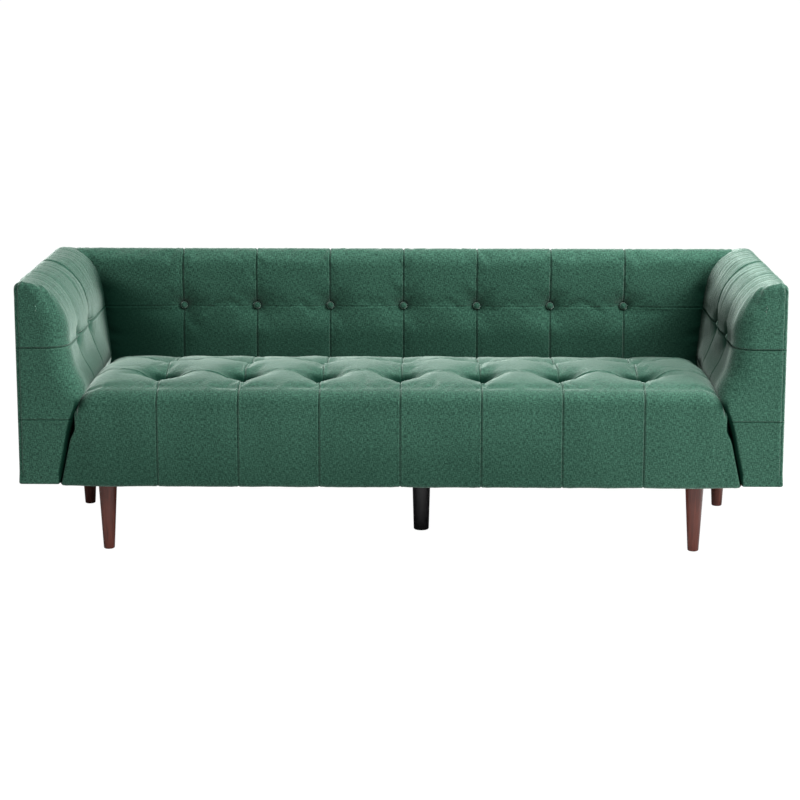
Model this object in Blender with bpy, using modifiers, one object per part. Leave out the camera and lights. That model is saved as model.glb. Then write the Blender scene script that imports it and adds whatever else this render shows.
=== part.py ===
"""A three-seat button-tufted sofa on turned wooden legs, as an assembly of its real pieces.

Metres, +Z up, +X to the right of someone looking at the front, the front facing -Y.
The origin is on the floor, under the middle of the sofa's box.
"""

import math

import bmesh
import bpy
from mathutils import Vector

# Overall sizes
WIDTH = 2.06
DEPTH = 0.80
ARM_HEIGHT = 0.755
BACK_HEIGHT = 0.747
UNDERSIDE = 0.20

# Seat, arms and back, as upholstered
SEAT_HEIGHT = 0.475
BACK_THICK = 0.16
SEAT_EDGE_HEIGHT = 0.44
SEAT_EDGE_ROUND = 0.03
ARM_THICK_SEAT = 0.157
ARM_THICK_BOTTOM = 0.105
ARM_THICK_TOP = 0.127
ARM_INNER_ROUND = 0.085
ARM_OUTER_ROUND = 0.03
BACK_EDGE_ROUND = 0.035
FACING = 0.024
COVER = 0.004

# Timber, board and wire
GAP = 0.0003
TIMBER = 0.028
RAIL_HEIGHT = 0.094
LOW_RAIL_HEIGHT = 0.042
ARM_RAIL_HEIGHT = 0.040
SEAT_FRAME_INSET = 0.135
CENTRE_RAIL_WIDTH = 0.090
CROSS_RAIL_X = 0.43
ARM_POST_WIDTH = 0.060
BACK_FRAME_DEPTH = 0.075
TOP_PAD = 0.055
TIMBER_EASE = 0.0015
BOARD = 0.004
CLOTH = 0.0012
SPRING_WIRE = 0.0038
SPRING_WIDTH = 0.052
SPRING_PITCH = 0.048
SPRING_HOLD = 0.014

# Buttons
COLUMNS = 7
COLUMN_PITCH = 0.218
BUTTON_RADIUS = 0.011
BUTTON_RISE = 0.008
BUTTON_HEIGHT = 0.577
ARM_BUTTONS_FROM_FRONT = (0.19, 0.38)

# Legs
LEG_TOP_RADIUS = 0.026
LEG_FOOT_RADIUS = 0.015
MIDDLE_TOP_RADIUS = 0.027
MIDDLE_FOOT_RADIUS = 0.0215
LEG_EASE = 0.002
FRONT_LEG_X = 0.803
FRONT_LEG_FROM_FRONT = 0.085
REAR_LEG_X = 0.930
REAR_LEG_FROM_FRONT = 0.540
MIDDLE_LEG_X = 0.056
MIDDLE_LEG_FROM_FRONT = 0.283
LEG_BLOCK_HEIGHT = 0.025
LEG_BLOCK_MARGIN = 0.030
BOLT_RADIUS = 0.004
BOLT_IN_LEG = 0.035
GLIDE_RADIUS = 0.011
GLIDE_HEIGHT = 0.005
GLIDE_INSET = 0.045

# Levels and planes that follow from the sizes above
HALF_WIDTH = WIDTH / 2
FRONT = -DEPTH / 2
REAR = DEPTH / 2
BACK_FACE = REAR - BACK_THICK
BACK_PLANE_REAR = REAR - COVER - BOARD - 2 * GAP
BACK_PLANE_FRONT = BACK_PLANE_REAR - BACK_FRAME_DEPTH
FRAME_FRONT = FRONT + FACING + GAP
FRAME_BOTTOM = UNDERSIDE + CLOTH + GAP
FRAME_TOP = FRAME_BOTTOM + RAIL_HEIGHT
FRAME_HALF = HALF_WIDTH - SEAT_FRAME_INSET
FRAME_REAR = BACK_PLANE_FRONT - GAP
SPRING_LEVEL = FRAME_TOP + GAP + SPRING_WIRE / 2
SEAT_PAD_BOTTOM = SPRING_LEVEL + SPRING_WIRE / 2 + GAP
ARM_OUTSIDE = HALF_WIDTH - COVER - BOARD - GAP
ARM_INSIDE = ARM_OUTSIDE - TIMBER
ARM_RAIL_TOP = FRAME_BOTTOM + ARM_RAIL_HEIGHT
ARM_FRAME_TOP = ARM_HEIGHT - TOP_PAD
BACK_FRAME_TOP = ARM_FRAME_TOP

COLOURS = {
    "velvet": ((0.030, 0.115, 0.075), 0.85, 0.0),
    "mahogany": ((0.115, 0.026, 0.016), 0.35, 0.0),
    "black_wood": ((0.010, 0.010, 0.011), 0.40, 0.0),
    "timber": ((0.560, 0.390, 0.230), 0.70, 0.0),
    "board": ((0.330, 0.210, 0.120), 0.80, 0.0),
    "spring_steel": ((0.350, 0.350, 0.360), 0.35, 1.0),
    "dust_cloth": ((0.015, 0.015, 0.016), 0.95, 0.0),
    "black_plastic": ((0.012, 0.012, 0.012), 0.45, 0.0),
}


def clear_scene():
    for old in list(bpy.data.objects):
        bpy.data.objects.remove(old, do_unlink=True)


def collection(name):
    made = bpy.data.collections.new(name)
    bpy.context.scene.collection.children.link(made)
    return made


def material(name):
    made = bpy.data.materials.get(name)
    if made is None:
        colour, roughness, metallic = COLOURS[name]
        made = bpy.data.materials.new(name)
        made.use_nodes = True
        shader = made.node_tree.nodes["Principled BSDF"]
        shader.inputs["Base Color"].default_value = (*colour, 1.0)
        shader.inputs["Roughness"].default_value = roughness
        shader.inputs["Metallic"].default_value = metallic
    return made


def add_object(name, data, finish, place=(0, 0, 0)):
    """Puts a mesh or curve in the sofa's collection, with its finish."""
    obj = bpy.data.objects.new(name, data)
    obj.location = place
    PARTS.objects.link(obj)
    data.materials.append(material(finish))
    return obj


def box_mesh(name, low, high):
    """A box between two corners, its origin at its middle."""
    size = [b - a for a, b in zip(low, high)]
    mesh = bpy.data.meshes.new(name)
    shape = bmesh.new()
    bmesh.ops.create_cube(shape, size=1.0)
    bmesh.ops.scale(shape, vec=size, verts=shape.verts)
    shape.to_mesh(mesh)
    shape.free()
    return mesh, [(a + b) / 2 for a, b in zip(low, high)]


def ease(obj, width, segments=1):
    bevel = obj.modifiers.new("eased edges", "BEVEL")
    bevel.width = width
    bevel.segments = segments
    bevel.limit_method = "ANGLE"
    return obj


def board(name, low, high, finish="timber", edge=TIMBER_EASE):
    """A sawn board or panel, with its edges eased where an edge width is given."""
    mesh, middle = box_mesh(name, low, high)
    obj = add_object(name, mesh, finish, middle)
    return ease(obj, edge) if edge else obj


def mirrored(side, low, high):
    """The corners of a box on the right, or of its mirror image on the left."""
    if side > 0:
        return low, high
    return (-high[0], *low[1:]), (-low[0], *high[1:])


def turned(name, profile, finish, place, steps=20):
    """A solid of revolution about Z. The profile runs from the axis at the top to the axis at the foot."""
    mesh = bpy.data.meshes.new(name)
    edges = [(i, i + 1) for i in range(len(profile) - 1)]
    mesh.from_pydata([(radius, 0, height) for radius, height in profile], edges, [])
    obj = add_object(name, mesh, finish, place)
    screw = obj.modifiers.new("turned", "SCREW")
    screw.steps = screw.render_steps = steps
    screw.use_merge_vertices = True
    screw.merge_threshold = 0.00005
    screw.use_smooth_shade = True
    return obj


def cut(obj, cutter):
    cutter.hide_render = True
    cutter.display_type = "WIRE"
    CUTTERS.objects.link(cutter)
    tool = obj.modifiers.new("cut", "BOOLEAN")
    tool.operation = "DIFFERENCE"
    tool.object = cutter
    tool.solver = "EXACT"


def cut_box(obj, low, high):
    mesh, middle = box_mesh(obj.name + "_cutter", low, high)
    cutter = bpy.data.objects.new(mesh.name, mesh)
    cutter.location = middle
    cut(obj, cutter)


def drill(obj, x, y, low, high):
    """A vertical hole that a hanger bolt passes through with a clearance."""
    mesh = bpy.data.meshes.new(obj.name + "_drill")
    shape = bmesh.new()
    radius = BOLT_RADIUS + GAP
    bmesh.ops.create_cone(
        shape, cap_ends=True, segments=12, radius1=radius, radius2=radius, depth=high - low
    )
    shape.to_mesh(mesh)
    shape.free()
    cutter = bpy.data.objects.new(mesh.name, mesh)
    cutter.location = (x, y, (low + high) / 2)
    cut(obj, cutter)


def arc(centre, radius, start, end, steps=6):
    """Points along a circle, from one angle to another in degrees."""
    angles = [math.radians(start + (end - start) * i / steps) for i in range(steps + 1)]
    return [(centre[0] + radius * math.cos(a), centre[1] + radius * math.sin(a)) for a in angles]


def extruded(name, outlines, length, finish):
    """Closed outlines filled in the local XY plane, inner ones as holes, and a length along local Z."""
    curve = bpy.data.curves.new(name + "_outline", "CURVE")
    curve.dimensions = "2D"
    curve.fill_mode = "BOTH"
    curve.extrude = length / 2
    for outline in outlines:
        spline = curve.splines.new("POLY")
        spline.points.add(len(outline) - 1)
        for point, (x, y) in zip(spline.points, outline):
            point.co = (x, y, 0, 1)
        spline.use_cyclic_u = True
    source = bpy.data.objects.new(name + "_outline", curve)
    bpy.context.scene.collection.objects.link(source)
    graph = bpy.context.evaluated_depsgraph_get()
    mesh = bpy.data.meshes.new_from_object(source.evaluated_get(graph))
    mesh.name = name
    mesh.materials.clear()
    bpy.data.objects.remove(source, do_unlink=True)
    shape = bmesh.new()
    shape.from_mesh(mesh)
    bmesh.ops.remove_doubles(shape, verts=shape.verts, dist=0.00001)
    bmesh.ops.recalc_face_normals(shape, faces=shape.faces)
    shape.to_mesh(mesh)
    shape.free()
    return add_object(name, mesh, finish)


def joint_line(height):
    """Half the seat's width at a height: it widens from the seat's edge down to the frame."""
    fall = (SEAT_EDGE_HEIGHT - height) / (SEAT_EDGE_HEIGHT - UNDERSIDE)
    edge = HALF_WIDTH - ARM_THICK_SEAT
    return edge + max(0.0, fall) * (ARM_THICK_SEAT - ARM_THICK_BOTTOM)


def arm_face(height):
    """How far from the middle the arm's inner face stands, between the seat's edge and the top's round."""
    rise = (height - SEAT_EDGE_HEIGHT) / (ARM_HEIGHT - ARM_INNER_ROUND - SEAT_EDGE_HEIGHT)
    return HALF_WIDTH - ARM_THICK_SEAT + rise * (ARM_THICK_SEAT - ARM_THICK_TOP)


# Seat frame


def seat_frame():
    inner = FRAME_HALF - TIMBER - GAP
    front_inner = FRAME_FRONT + TIMBER
    rear_inner = FRAME_REAR - TIMBER
    board("seat_rail_front", (-FRAME_HALF, FRAME_FRONT, FRAME_BOTTOM), (FRAME_HALF, front_inner, FRAME_TOP))
    board("seat_rail_rear", (-FRAME_HALF, rear_inner, FRAME_BOTTOM), (FRAME_HALF, FRAME_REAR, FRAME_TOP))
    for side, word in ((-1, "left"), (1, "right")):
        low = (FRAME_HALF - TIMBER, front_inner + GAP, FRAME_BOTTOM)
        high = (FRAME_HALF, rear_inner - GAP, FRAME_TOP)
        board(f"seat_rail_{word}", *mirrored(side, low, high))
        low = (CROSS_RAIL_X - TIMBER / 2, front_inner + GAP, FRAME_BOTTOM)
        high = (CROSS_RAIL_X + TIMBER / 2, rear_inner - GAP, FRAME_BOTTOM + LOW_RAIL_HEIGHT)
        board(f"cross_rail_{word}", *mirrored(side, low, high))
        leg_y = FRONT + FRONT_LEG_FROM_FRONT
        reach = LEG_TOP_RADIUS + LEG_BLOCK_MARGIN
        low = (FRONT_LEG_X - reach, front_inner + GAP, FRAME_BOTTOM)
        high = (inner, leg_y + reach, FRAME_BOTTOM + LEG_BLOCK_HEIGHT)
        block = board(f"leg_block_{word}", *mirrored(side, low, high))
        drill(block, side * FRONT_LEG_X, leg_y, UNDERSIDE, FRAME_TOP)
    half = CENTRE_RAIL_WIDTH / 2
    low = (MIDDLE_LEG_X - half, front_inner + GAP, FRAME_BOTTOM)
    high = (MIDDLE_LEG_X + half, rear_inner - GAP, FRAME_BOTTOM + LOW_RAIL_HEIGHT)
    centre = board("centre_rail", low, high)
    drill(centre, MIDDLE_LEG_X, FRONT + MIDDLE_LEG_FROM_FRONT, UNDERSIDE, FRAME_TOP)


def zigzag_spring(name, x):
    """A sinuous wire that snakes from the front rail's top to the rear rail's top."""
    start = FRAME_FRONT + SPRING_HOLD
    end = FRAME_REAR - SPRING_HOLD
    bends = round((end - start) / SPRING_PITCH * 2)
    step = (end - start) / bends
    half = SPRING_WIDTH / 2
    route = [(-half, 0.0)]
    for i in range(bends):
        side = 1 if i % 2 == 0 else -1
        y = i * step
        route += [(side * half * 0.72, y), (side * half, y + step * 0.28)]
        route += [(side * half, y + step * 0.72)]
    route.append((-half if bends % 2 == 0 else half, end - start))
    curve = bpy.data.curves.new(name, "CURVE")
    curve.dimensions = "3D"
    curve.bevel_depth = SPRING_WIRE / 2
    curve.bevel_resolution = 1
    curve.use_fill_caps = True
    spline = curve.splines.new("POLY")
    spline.points.add(len(route) - 1)
    for point, (across, along) in zip(spline.points, route):
        point.co = (across, along, 0, 1)
    add_object(name, curve, "spring_steel", (x, start, SPRING_LEVEL))


def springs():
    for i in range(COLUMNS):
        zigzag_spring(f"zigzag_spring_{i + 1}", (i - (COLUMNS - 1) / 2) * COLUMN_PITCH)


# Arm and back frames


def arm_frame(side, word):
    rail_inside = FRAME_HALF + GAP
    low = (rail_inside, FRAME_FRONT, FRAME_BOTTOM)
    high = (ARM_OUTSIDE, BACK_PLANE_REAR, ARM_RAIL_TOP)
    rail = board(f"arm_rail_bottom_{word}", *mirrored(side, low, high))
    drill(rail, side * REAR_LEG_X, FRONT + REAR_LEG_FROM_FRONT, UNDERSIDE, FRAME_TOP)
    low = (ARM_INSIDE, FRAME_FRONT, ARM_FRAME_TOP - ARM_RAIL_HEIGHT)
    high = (ARM_OUTSIDE, BACK_PLANE_REAR, ARM_FRAME_TOP)
    board(f"arm_rail_top_{word}", *mirrored(side, low, high))
    post_bottom = ARM_RAIL_TOP + GAP
    post_top = ARM_FRAME_TOP - ARM_RAIL_HEIGHT - GAP
    low = (ARM_INSIDE, FRAME_FRONT, post_bottom)
    high = (ARM_OUTSIDE, FRAME_FRONT + ARM_POST_WIDTH, post_top)
    board(f"arm_post_front_{word}", *mirrored(side, low, high))
    low = (ARM_INSIDE, BACK_PLANE_REAR - ARM_POST_WIDTH, post_bottom)
    high = (ARM_OUTSIDE, BACK_PLANE_REAR, post_top)
    board(f"arm_post_rear_{word}", *mirrored(side, low, high))
    low = (ARM_OUTSIDE + GAP, FRAME_FRONT, FRAME_BOTTOM)
    high = (ARM_OUTSIDE + GAP + BOARD, BACK_PLANE_REAR, ARM_FRAME_TOP)
    board(f"arm_panel_{word}", *mirrored(side, low, high), finish="board", edge=0)


def back_frame():
    half = ARM_INSIDE - GAP
    top_low = BACK_FRAME_TOP - TIMBER
    low_rail = (-half, BACK_PLANE_FRONT, ARM_RAIL_TOP + GAP)
    board("back_rail_bottom", low_rail, (half, BACK_PLANE_REAR, ARM_RAIL_TOP + GAP + TIMBER))
    board("back_rail_top", (-half, BACK_PLANE_FRONT, top_low), (half, BACK_PLANE_REAR, BACK_FRAME_TOP))
    low = (-TIMBER / 2, BACK_PLANE_FRONT, ARM_RAIL_TOP + TIMBER + 2 * GAP)
    board("back_stile", low, (TIMBER / 2, BACK_PLANE_REAR, top_low - GAP))
    low = (-ARM_OUTSIDE, BACK_PLANE_REAR + GAP, FRAME_BOTTOM)
    high = (ARM_OUTSIDE, BACK_PLANE_REAR + GAP + BOARD, BACK_FRAME_TOP)
    board("back_panel", low, high, finish="board", edge=0)


# Padding


def seat_pad():
    """A slab on the springs, as wide as the joint with the arms, with a lip down over the front rail."""
    top = SEAT_HEIGHT
    rear = BACK_FACE - GAP
    mesh, middle = box_mesh("seat_pad", (-1, FRONT, UNDERSIDE), (1, rear, top))
    for vertex in mesh.vertices:
        height = middle[2] + vertex.co.z
        half = joint_line(height) - GAP
        vertex.co.x = math.copysign(half, vertex.co.x)
    obj = add_object("seat_pad", mesh, "velvet", middle)
    shape = bmesh.new()
    shape.from_mesh(mesh)
    sides = [e for e in shape.edges if abs(e.verts[0].co.z - e.verts[1].co.z) > 0.1]
    share = (SEAT_EDGE_HEIGHT - UNDERSIDE) / (top - UNDERSIDE)
    for edge in sides:
        lower, upper = sorted(edge.verts, key=lambda v: v.co.z)
        bmesh.utils.edge_split(edge, lower, share)
    ring = [v for v in shape.verts if abs(middle[2] + v.co.z - SEAT_EDGE_HEIGHT) < 0.0001]
    for vertex in ring:
        vertex.co.x = math.copysign(joint_line(SEAT_EDGE_HEIGHT) - GAP, vertex.co.x)
    bmesh.ops.connect_verts(shape, verts=ring)
    shape.to_mesh(mesh)
    shape.free()
    ease(obj, SEAT_EDGE_ROUND, 3)
    low = (-HALF_WIDTH, FRAME_FRONT - GAP, UNDERSIDE - FACING)
    cut_box(obj, low, (HALF_WIDTH, REAR, SEAT_PAD_BOTTOM))


def arm_outline():
    """The arm's section, from its foot up the inner side, over the top and down the outer side."""
    top = ARM_HEIGHT
    inner = (HALF_WIDTH - ARM_THICK_TOP + ARM_INNER_ROUND, top - ARM_INNER_ROUND)
    outer = (HALF_WIDTH - ARM_OUTER_ROUND, top - ARM_OUTER_ROUND)
    foot = [(HALF_WIDTH, UNDERSIDE), (joint_line(UNDERSIDE), UNDERSIDE)]
    shoulder = [(joint_line(SEAT_EDGE_HEIGHT), SEAT_EDGE_HEIGHT)]
    return foot + shoulder + arc(inner, ARM_INNER_ROUND, 180, 90) + arc(outer, ARM_OUTER_ROUND, 90, 0)


def arm_pad(side, word):
    """Foam over the arm's inside, top and front, hollow where the timber frame stands in it."""
    outline = [(side * x, z) for x, z in arm_outline()]
    obj = extruded(f"arm_pad_{word}", [outline], DEPTH, "velvet")
    obj.rotation_euler = (math.pi / 2, 0, 0)
    past = HALF_WIDTH + FACING
    below = UNDERSIDE - FACING
    front = FRAME_FRONT - GAP
    timber_top = ARM_FRAME_TOP + GAP
    cut_box(obj, *mirrored(side, (ARM_INSIDE - GAP, front, below), (past, REAR + FACING, timber_top)))
    low_rail = (FRAME_HALF - ARM_THICK_SEAT, front, below)
    cut_box(obj, *mirrored(side, low_rail, (past, REAR + FACING, ARM_RAIL_TOP + GAP)))
    back_end = (FRAME_HALF - ARM_THICK_SEAT, BACK_PLANE_FRONT - GAP, below)
    cut_box(obj, *mirrored(side, back_end, (past, REAR + FACING, timber_top)))


def back_pad():
    """Foam over the front and the top of the back frame, between the arms."""
    half = HALF_WIDTH - ARM_THICK_SEAT - GAP
    top = BACK_HEIGHT
    bottom = SEAT_PAD_BOTTOM
    r = BACK_EDGE_ROUND
    front_edge = arc((BACK_FACE + r, top - r), r, 180, 90)
    rear_edge = arc((REAR - r, top - r), r, 90, 0)
    behind = BACK_PLANE_FRONT - GAP
    under = BACK_FRAME_TOP + GAP
    inside = [(REAR, under), (behind, under), (behind, bottom)]
    outline = [(BACK_FACE, bottom)] + front_edge + rear_edge + inside
    obj = extruded("back_pad", [outline], 2 * half, "velvet")
    obj.rotation_euler = (math.pi / 2, 0, math.pi / 2)


def button(name, point, normal):
    """A covered button: a low dome whose flat back lies on the padding."""
    profile = arc((0, 0), 1.0, 90, 8, 4)
    dome = [(BUTTON_RADIUS * x, BUTTON_RISE * z) for x, z in profile]
    dome[0] = (0, BUTTON_RISE)
    obj = turned(name, dome + [(BUTTON_RADIUS * 0.9, 0), (0, 0)], "velvet", point, 12)
    obj.location = Vector(point) + GAP * Vector(normal)
    obj.rotation_euler = Vector(normal).to_track_quat("Z", "Y").to_euler()


def buttons():
    for i in range(COLUMNS):
        x = (i - (COLUMNS - 1) / 2) * COLUMN_PITCH
        button(f"back_button_{i + 1}", (x, BACK_FACE, BUTTON_HEIGHT), (0, -1, 0))
    slope = (ARM_THICK_SEAT - ARM_THICK_TOP) / (ARM_HEIGHT - ARM_INNER_ROUND - SEAT_EDGE_HEIGHT)
    lean = math.atan(slope)
    for side, word in ((-1, "left"), (1, "right")):
        for i, from_front in enumerate(ARM_BUTTONS_FROM_FRONT):
            point = (side * arm_face(BUTTON_HEIGHT), FRONT + from_front, BUTTON_HEIGHT)
            normal = (-side * math.cos(lean), 0, math.sin(lean))
            button(f"arm_button_{word}_{i + 1}", point, normal)


# Legs and what is under the sofa


def leg(name, x, y, top_radius, foot_radius, finish):
    """A tapered turned leg with a blind hole for its hanger bolt."""
    top = UNDERSIDE - GAP
    hole = BOLT_RADIUS + GAP
    bottom_of_hole = top - BOLT_IN_LEG
    profile = [(0, bottom_of_hole), (hole, bottom_of_hole), (hole, top)]
    profile += [(top_radius - LEG_EASE, top), (top_radius, top - LEG_EASE)]
    profile += [(foot_radius, LEG_EASE), (foot_radius - LEG_EASE, 0), (0, 0)]
    turned(name, profile, finish, (x, y, 0), 24)


def hanger_bolt(name, x, y, top):
    low = UNDERSIDE - BOLT_IN_LEG
    mesh = bpy.data.meshes.new(name)
    shape = bmesh.new()
    bmesh.ops.create_cone(
        shape, cap_ends=True, segments=12, radius1=BOLT_RADIUS, radius2=BOLT_RADIUS, depth=top - low
    )
    shape.to_mesh(mesh)
    shape.free()
    add_object(name, mesh, "spring_steel", (x, y, (low + top) / 2))


def leg_places():
    """Each leg's name, place and the height at which its bolt ends."""
    block_top = FRAME_BOTTOM + LEG_BLOCK_HEIGHT
    places = []
    for side, word in ((-1, "left"), (1, "right")):
        places.append((f"front_{word}", side * FRONT_LEG_X, FRONT + FRONT_LEG_FROM_FRONT, block_top))
        places.append((f"rear_{word}", side * REAR_LEG_X, FRONT + REAR_LEG_FROM_FRONT, ARM_RAIL_TOP))
    low_rail_top = FRAME_BOTTOM + LOW_RAIL_HEIGHT
    places.append(("middle", MIDDLE_LEG_X, FRONT + MIDDLE_LEG_FROM_FRONT, low_rail_top))
    return places


def legs():
    for place, x, y, top in leg_places():
        if place == "middle":
            leg("leg_middle", x, y, MIDDLE_TOP_RADIUS, MIDDLE_FOOT_RADIUS, "black_wood")
        else:
            leg(f"leg_{place}", x, y, LEG_TOP_RADIUS, LEG_FOOT_RADIUS, "mahogany")
        hanger_bolt(f"hanger_bolt_{place}", x, y, top - GAP)


def dust_cover():
    """Black cloth stapled under the frame, pierced where the bolts pass."""
    half = ARM_OUTSIDE
    front = FRAME_FRONT
    rear = BACK_PLANE_REAR
    outlines = [[(-half, front), (half, front), (half, rear), (-half, rear)]]
    for _, x, y, _ in leg_places():
        outlines.append(arc((x, y), BOLT_RADIUS + GAP, 0, 330, 11))
    cover = extruded("dust_cover", outlines, CLOTH, "dust_cloth")
    cover.location.z = UNDERSIDE + CLOTH / 2


def glides():
    """Nail-on glides near the arms' outer corners, which keep the cover off a floor when the legs are off."""
    top = UNDERSIDE - GAP
    low = top - GLIDE_HEIGHT
    ease_in = GLIDE_HEIGHT * 0.4
    profile = [(0, top), (GLIDE_RADIUS, top), (GLIDE_RADIUS, low + ease_in)]
    profile += [(GLIDE_RADIUS - ease_in, low), (0, low)]
    for side, word in ((-1, "left"), (1, "right")):
        for end, y in (("front", FRONT + GLIDE_INSET), ("rear", REAR - GLIDE_INSET)):
            place = (side * (HALF_WIDTH - GLIDE_INSET), y, 0)
            turned(f"glide_{end}_{word}", profile, "black_plastic", place, 16)


clear_scene()
PARTS = collection("sofa")
CUTTERS = collection("cutters")
CUTTERS.hide_render = True
seat_frame()
springs()
for side, word in ((-1, "left"), (1, "right")):
    arm_frame(side, word)
    arm_pad(side, word)
back_frame()
seat_pad()
back_pad()
buttons()
legs()
dust_cover()
glides()
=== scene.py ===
"""A button-tufted velvet sofa on turned wooden legs, upholstered around its frame.

Each operator makes one piece or group of like pieces. All lengths are metres, the front faces -Y.
"""

import functools
import math

import bmesh
import bpy
import numpy as np
from bpy.props import FloatProperty, FloatVectorProperty, IntProperty, PointerProperty
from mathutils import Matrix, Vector


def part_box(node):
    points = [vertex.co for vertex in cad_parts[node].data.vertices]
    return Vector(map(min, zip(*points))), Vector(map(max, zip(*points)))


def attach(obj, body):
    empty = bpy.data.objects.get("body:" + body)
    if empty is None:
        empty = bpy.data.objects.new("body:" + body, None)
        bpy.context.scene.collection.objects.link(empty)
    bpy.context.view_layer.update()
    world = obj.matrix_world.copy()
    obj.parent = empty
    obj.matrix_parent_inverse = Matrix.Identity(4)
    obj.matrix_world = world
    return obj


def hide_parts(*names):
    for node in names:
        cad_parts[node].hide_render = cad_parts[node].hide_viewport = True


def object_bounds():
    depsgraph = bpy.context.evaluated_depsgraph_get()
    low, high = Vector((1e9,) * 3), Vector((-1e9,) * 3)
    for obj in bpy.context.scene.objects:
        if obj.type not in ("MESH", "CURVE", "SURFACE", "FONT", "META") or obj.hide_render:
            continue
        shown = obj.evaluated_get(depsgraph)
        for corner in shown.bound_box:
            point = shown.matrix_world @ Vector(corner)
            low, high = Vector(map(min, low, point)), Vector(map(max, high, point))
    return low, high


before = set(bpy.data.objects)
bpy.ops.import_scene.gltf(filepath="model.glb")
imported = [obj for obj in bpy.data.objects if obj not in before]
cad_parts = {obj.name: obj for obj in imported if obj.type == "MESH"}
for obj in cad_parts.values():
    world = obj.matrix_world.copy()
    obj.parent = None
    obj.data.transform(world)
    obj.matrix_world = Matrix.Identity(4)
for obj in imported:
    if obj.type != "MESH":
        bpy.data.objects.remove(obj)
CAD_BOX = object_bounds()

bl_info = {
    "name": "Tufted sofa",
    "version": (1, 0, 0),
    "blender": (4, 5, 0),
    "location": "3D View > Sidebar > Sofa",
    "description": "Makes a button-tufted velvet sofa around its timber frame",
    "category": "Add Mesh",
}

SIDES = ((-1, "left"), (1, "right"))

# Places read from the frame
LOW, HIGH = (tuple(corner) for corner in CAD_BOX)
HALF_WIDTH, FRONT, REAR, ARM_TOP = HIGH[0], LOW[1], HIGH[1], HIGH[2]
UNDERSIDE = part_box("seat_pad")[0][2]
SEAT_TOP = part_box("seat_pad")[1][2]
BACK_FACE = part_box("back_pad")[0][1]
BACK_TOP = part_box("back_pad")[1][2]
SLAB_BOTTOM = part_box("back_pad")[0][2]
RAIL_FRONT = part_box("seat_rail_front")[0][1]
PANEL_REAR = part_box("back_panel")[1][1]
FRAME_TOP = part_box("back_panel")[1][2]
BACK_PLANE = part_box("back_rail_top")[0][1]

# Fixed sizes of the build
SHELL_GAP = 0.0006  # between a cover and the frame it lies on
SEAT_END_ROUND = 0.008  # the seat's rounded edge beside each arm
ARM_ROUND = 0.16  # height of the oval top of an arm
ARM_REAR_INSET = 0.0035  # how far an arm's cover ends inside the back's
BUTTON_RISE = 0.0095  # height of a button's dome
OUTER_SEAM = HALF_WIDTH - 0.009  # the seam down an arm's front, near its outer side

# Fineness of the meshes and of the coarse grids that settle
ROW_STEP, COLUMN_STEP = 0.0070, 0.0075
SEAT_COARSE_STEP, BACK_COARSE_STEP, ARM_COARSE_STEP = 0.0095, 0.0090, 0.0100
SEAT_COARSE_COLUMNS, BACK_COARSE_COLUMNS = 200, 210
WELD = 1e-5
SETTLING_FRAMES = 18


def middle(node):
    """The middle of a node's box: half the sum of its lowest and highest corners."""
    low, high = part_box(node)
    return [(a + b) / 2 for a, b in zip(low, high)]


COLUMNS = [middle(f"back_button_{i}")[0] for i in range(1, 8)]
BUTTON_HEIGHT = middle("back_button_4")[2]
ARM_BUTTON_Y = [middle(f"arm_button_right_{i}")[1] for i in (1, 2)]
BUTTON_RADIUS = (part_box("back_button_4")[1][0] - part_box("back_button_4")[0][0]) / 2


# Settings


class SofaSizes(bpy.types.PropertyGroup):
    seat_tuft: FloatProperty(
        name="Seat tuft", description="Depth of a tuft in the seat", default=0.036, unit="LENGTH"
    )
    back_tuft: FloatProperty(
        name="Back tuft", description="Depth of a tuft in the back", default=0.024, unit="LENGTH"
    )
    arm_tuft: FloatProperty(
        name="Arm tuft", description="Depth of a tuft in an arm", default=0.019, unit="LENGTH"
    )
    seat_rows: FloatVectorProperty(
        name="Seat rows",
        description="How far behind the front each row of seat tufts is",
        default=(0.180, 0.415),
        size=2,
        unit="LENGTH",
    )
    seam_depth: FloatProperty(
        name="Seam depth", description="Depth of a stitched seam", default=0.0045, unit="LENGTH"
    )
    seam_width: FloatProperty(
        name="Seam width",
        description="Half the width of a seam's groove",
        default=0.0022,
        unit="LENGTH",
    )
    pleat_depth: FloatProperty(
        name="Pleat depth",
        description="Height of the pleats over the arms",
        default=0.0016,
        unit="LENGTH",
    )
    low_seam: FloatProperty(
        name="Low arm seam", description="Height of the arm's lower seam", default=0.381, unit="LENGTH"
    )
    leg_sides: IntProperty(
        name="Leg sides", description="Facets around a turned leg", default=72, min=24, max=128
    )


class SofaColours(bpy.types.PropertyGroup):
    velvet: FloatVectorProperty(
        name="Velvet", description="Pile colour", default=(0.007, 0.038, 0.024), size=3, subtype="COLOR"
    )
    velvet_light: FloatVectorProperty(
        name="Velvet slub",
        description="Lighter threads",
        default=(0.036, 0.118, 0.078),
        size=3,
        subtype="COLOR",
    )
    bloom: FloatVectorProperty(
        name="Bloom", description="Sheen of the pile", default=(0.78, 0.95, 0.86), size=3, subtype="COLOR"
    )
    mahogany: FloatVectorProperty(
        name="Mahogany",
        description="Stained wood of the legs",
        default=(0.085, 0.020, 0.012),
        size=3,
        subtype="COLOR",
    )
    black_wood: FloatVectorProperty(
        name="Black wood",
        description="Stain of the middle leg",
        default=(0.007, 0.0065, 0.008),
        size=3,
        subtype="COLOR",
    )
    floor: FloatVectorProperty(
        name="Floor", description="Pale studio floor", default=(0.80, 0.80, 0.80), size=3, subtype="COLOR"
    )


# Shader expressions


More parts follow.
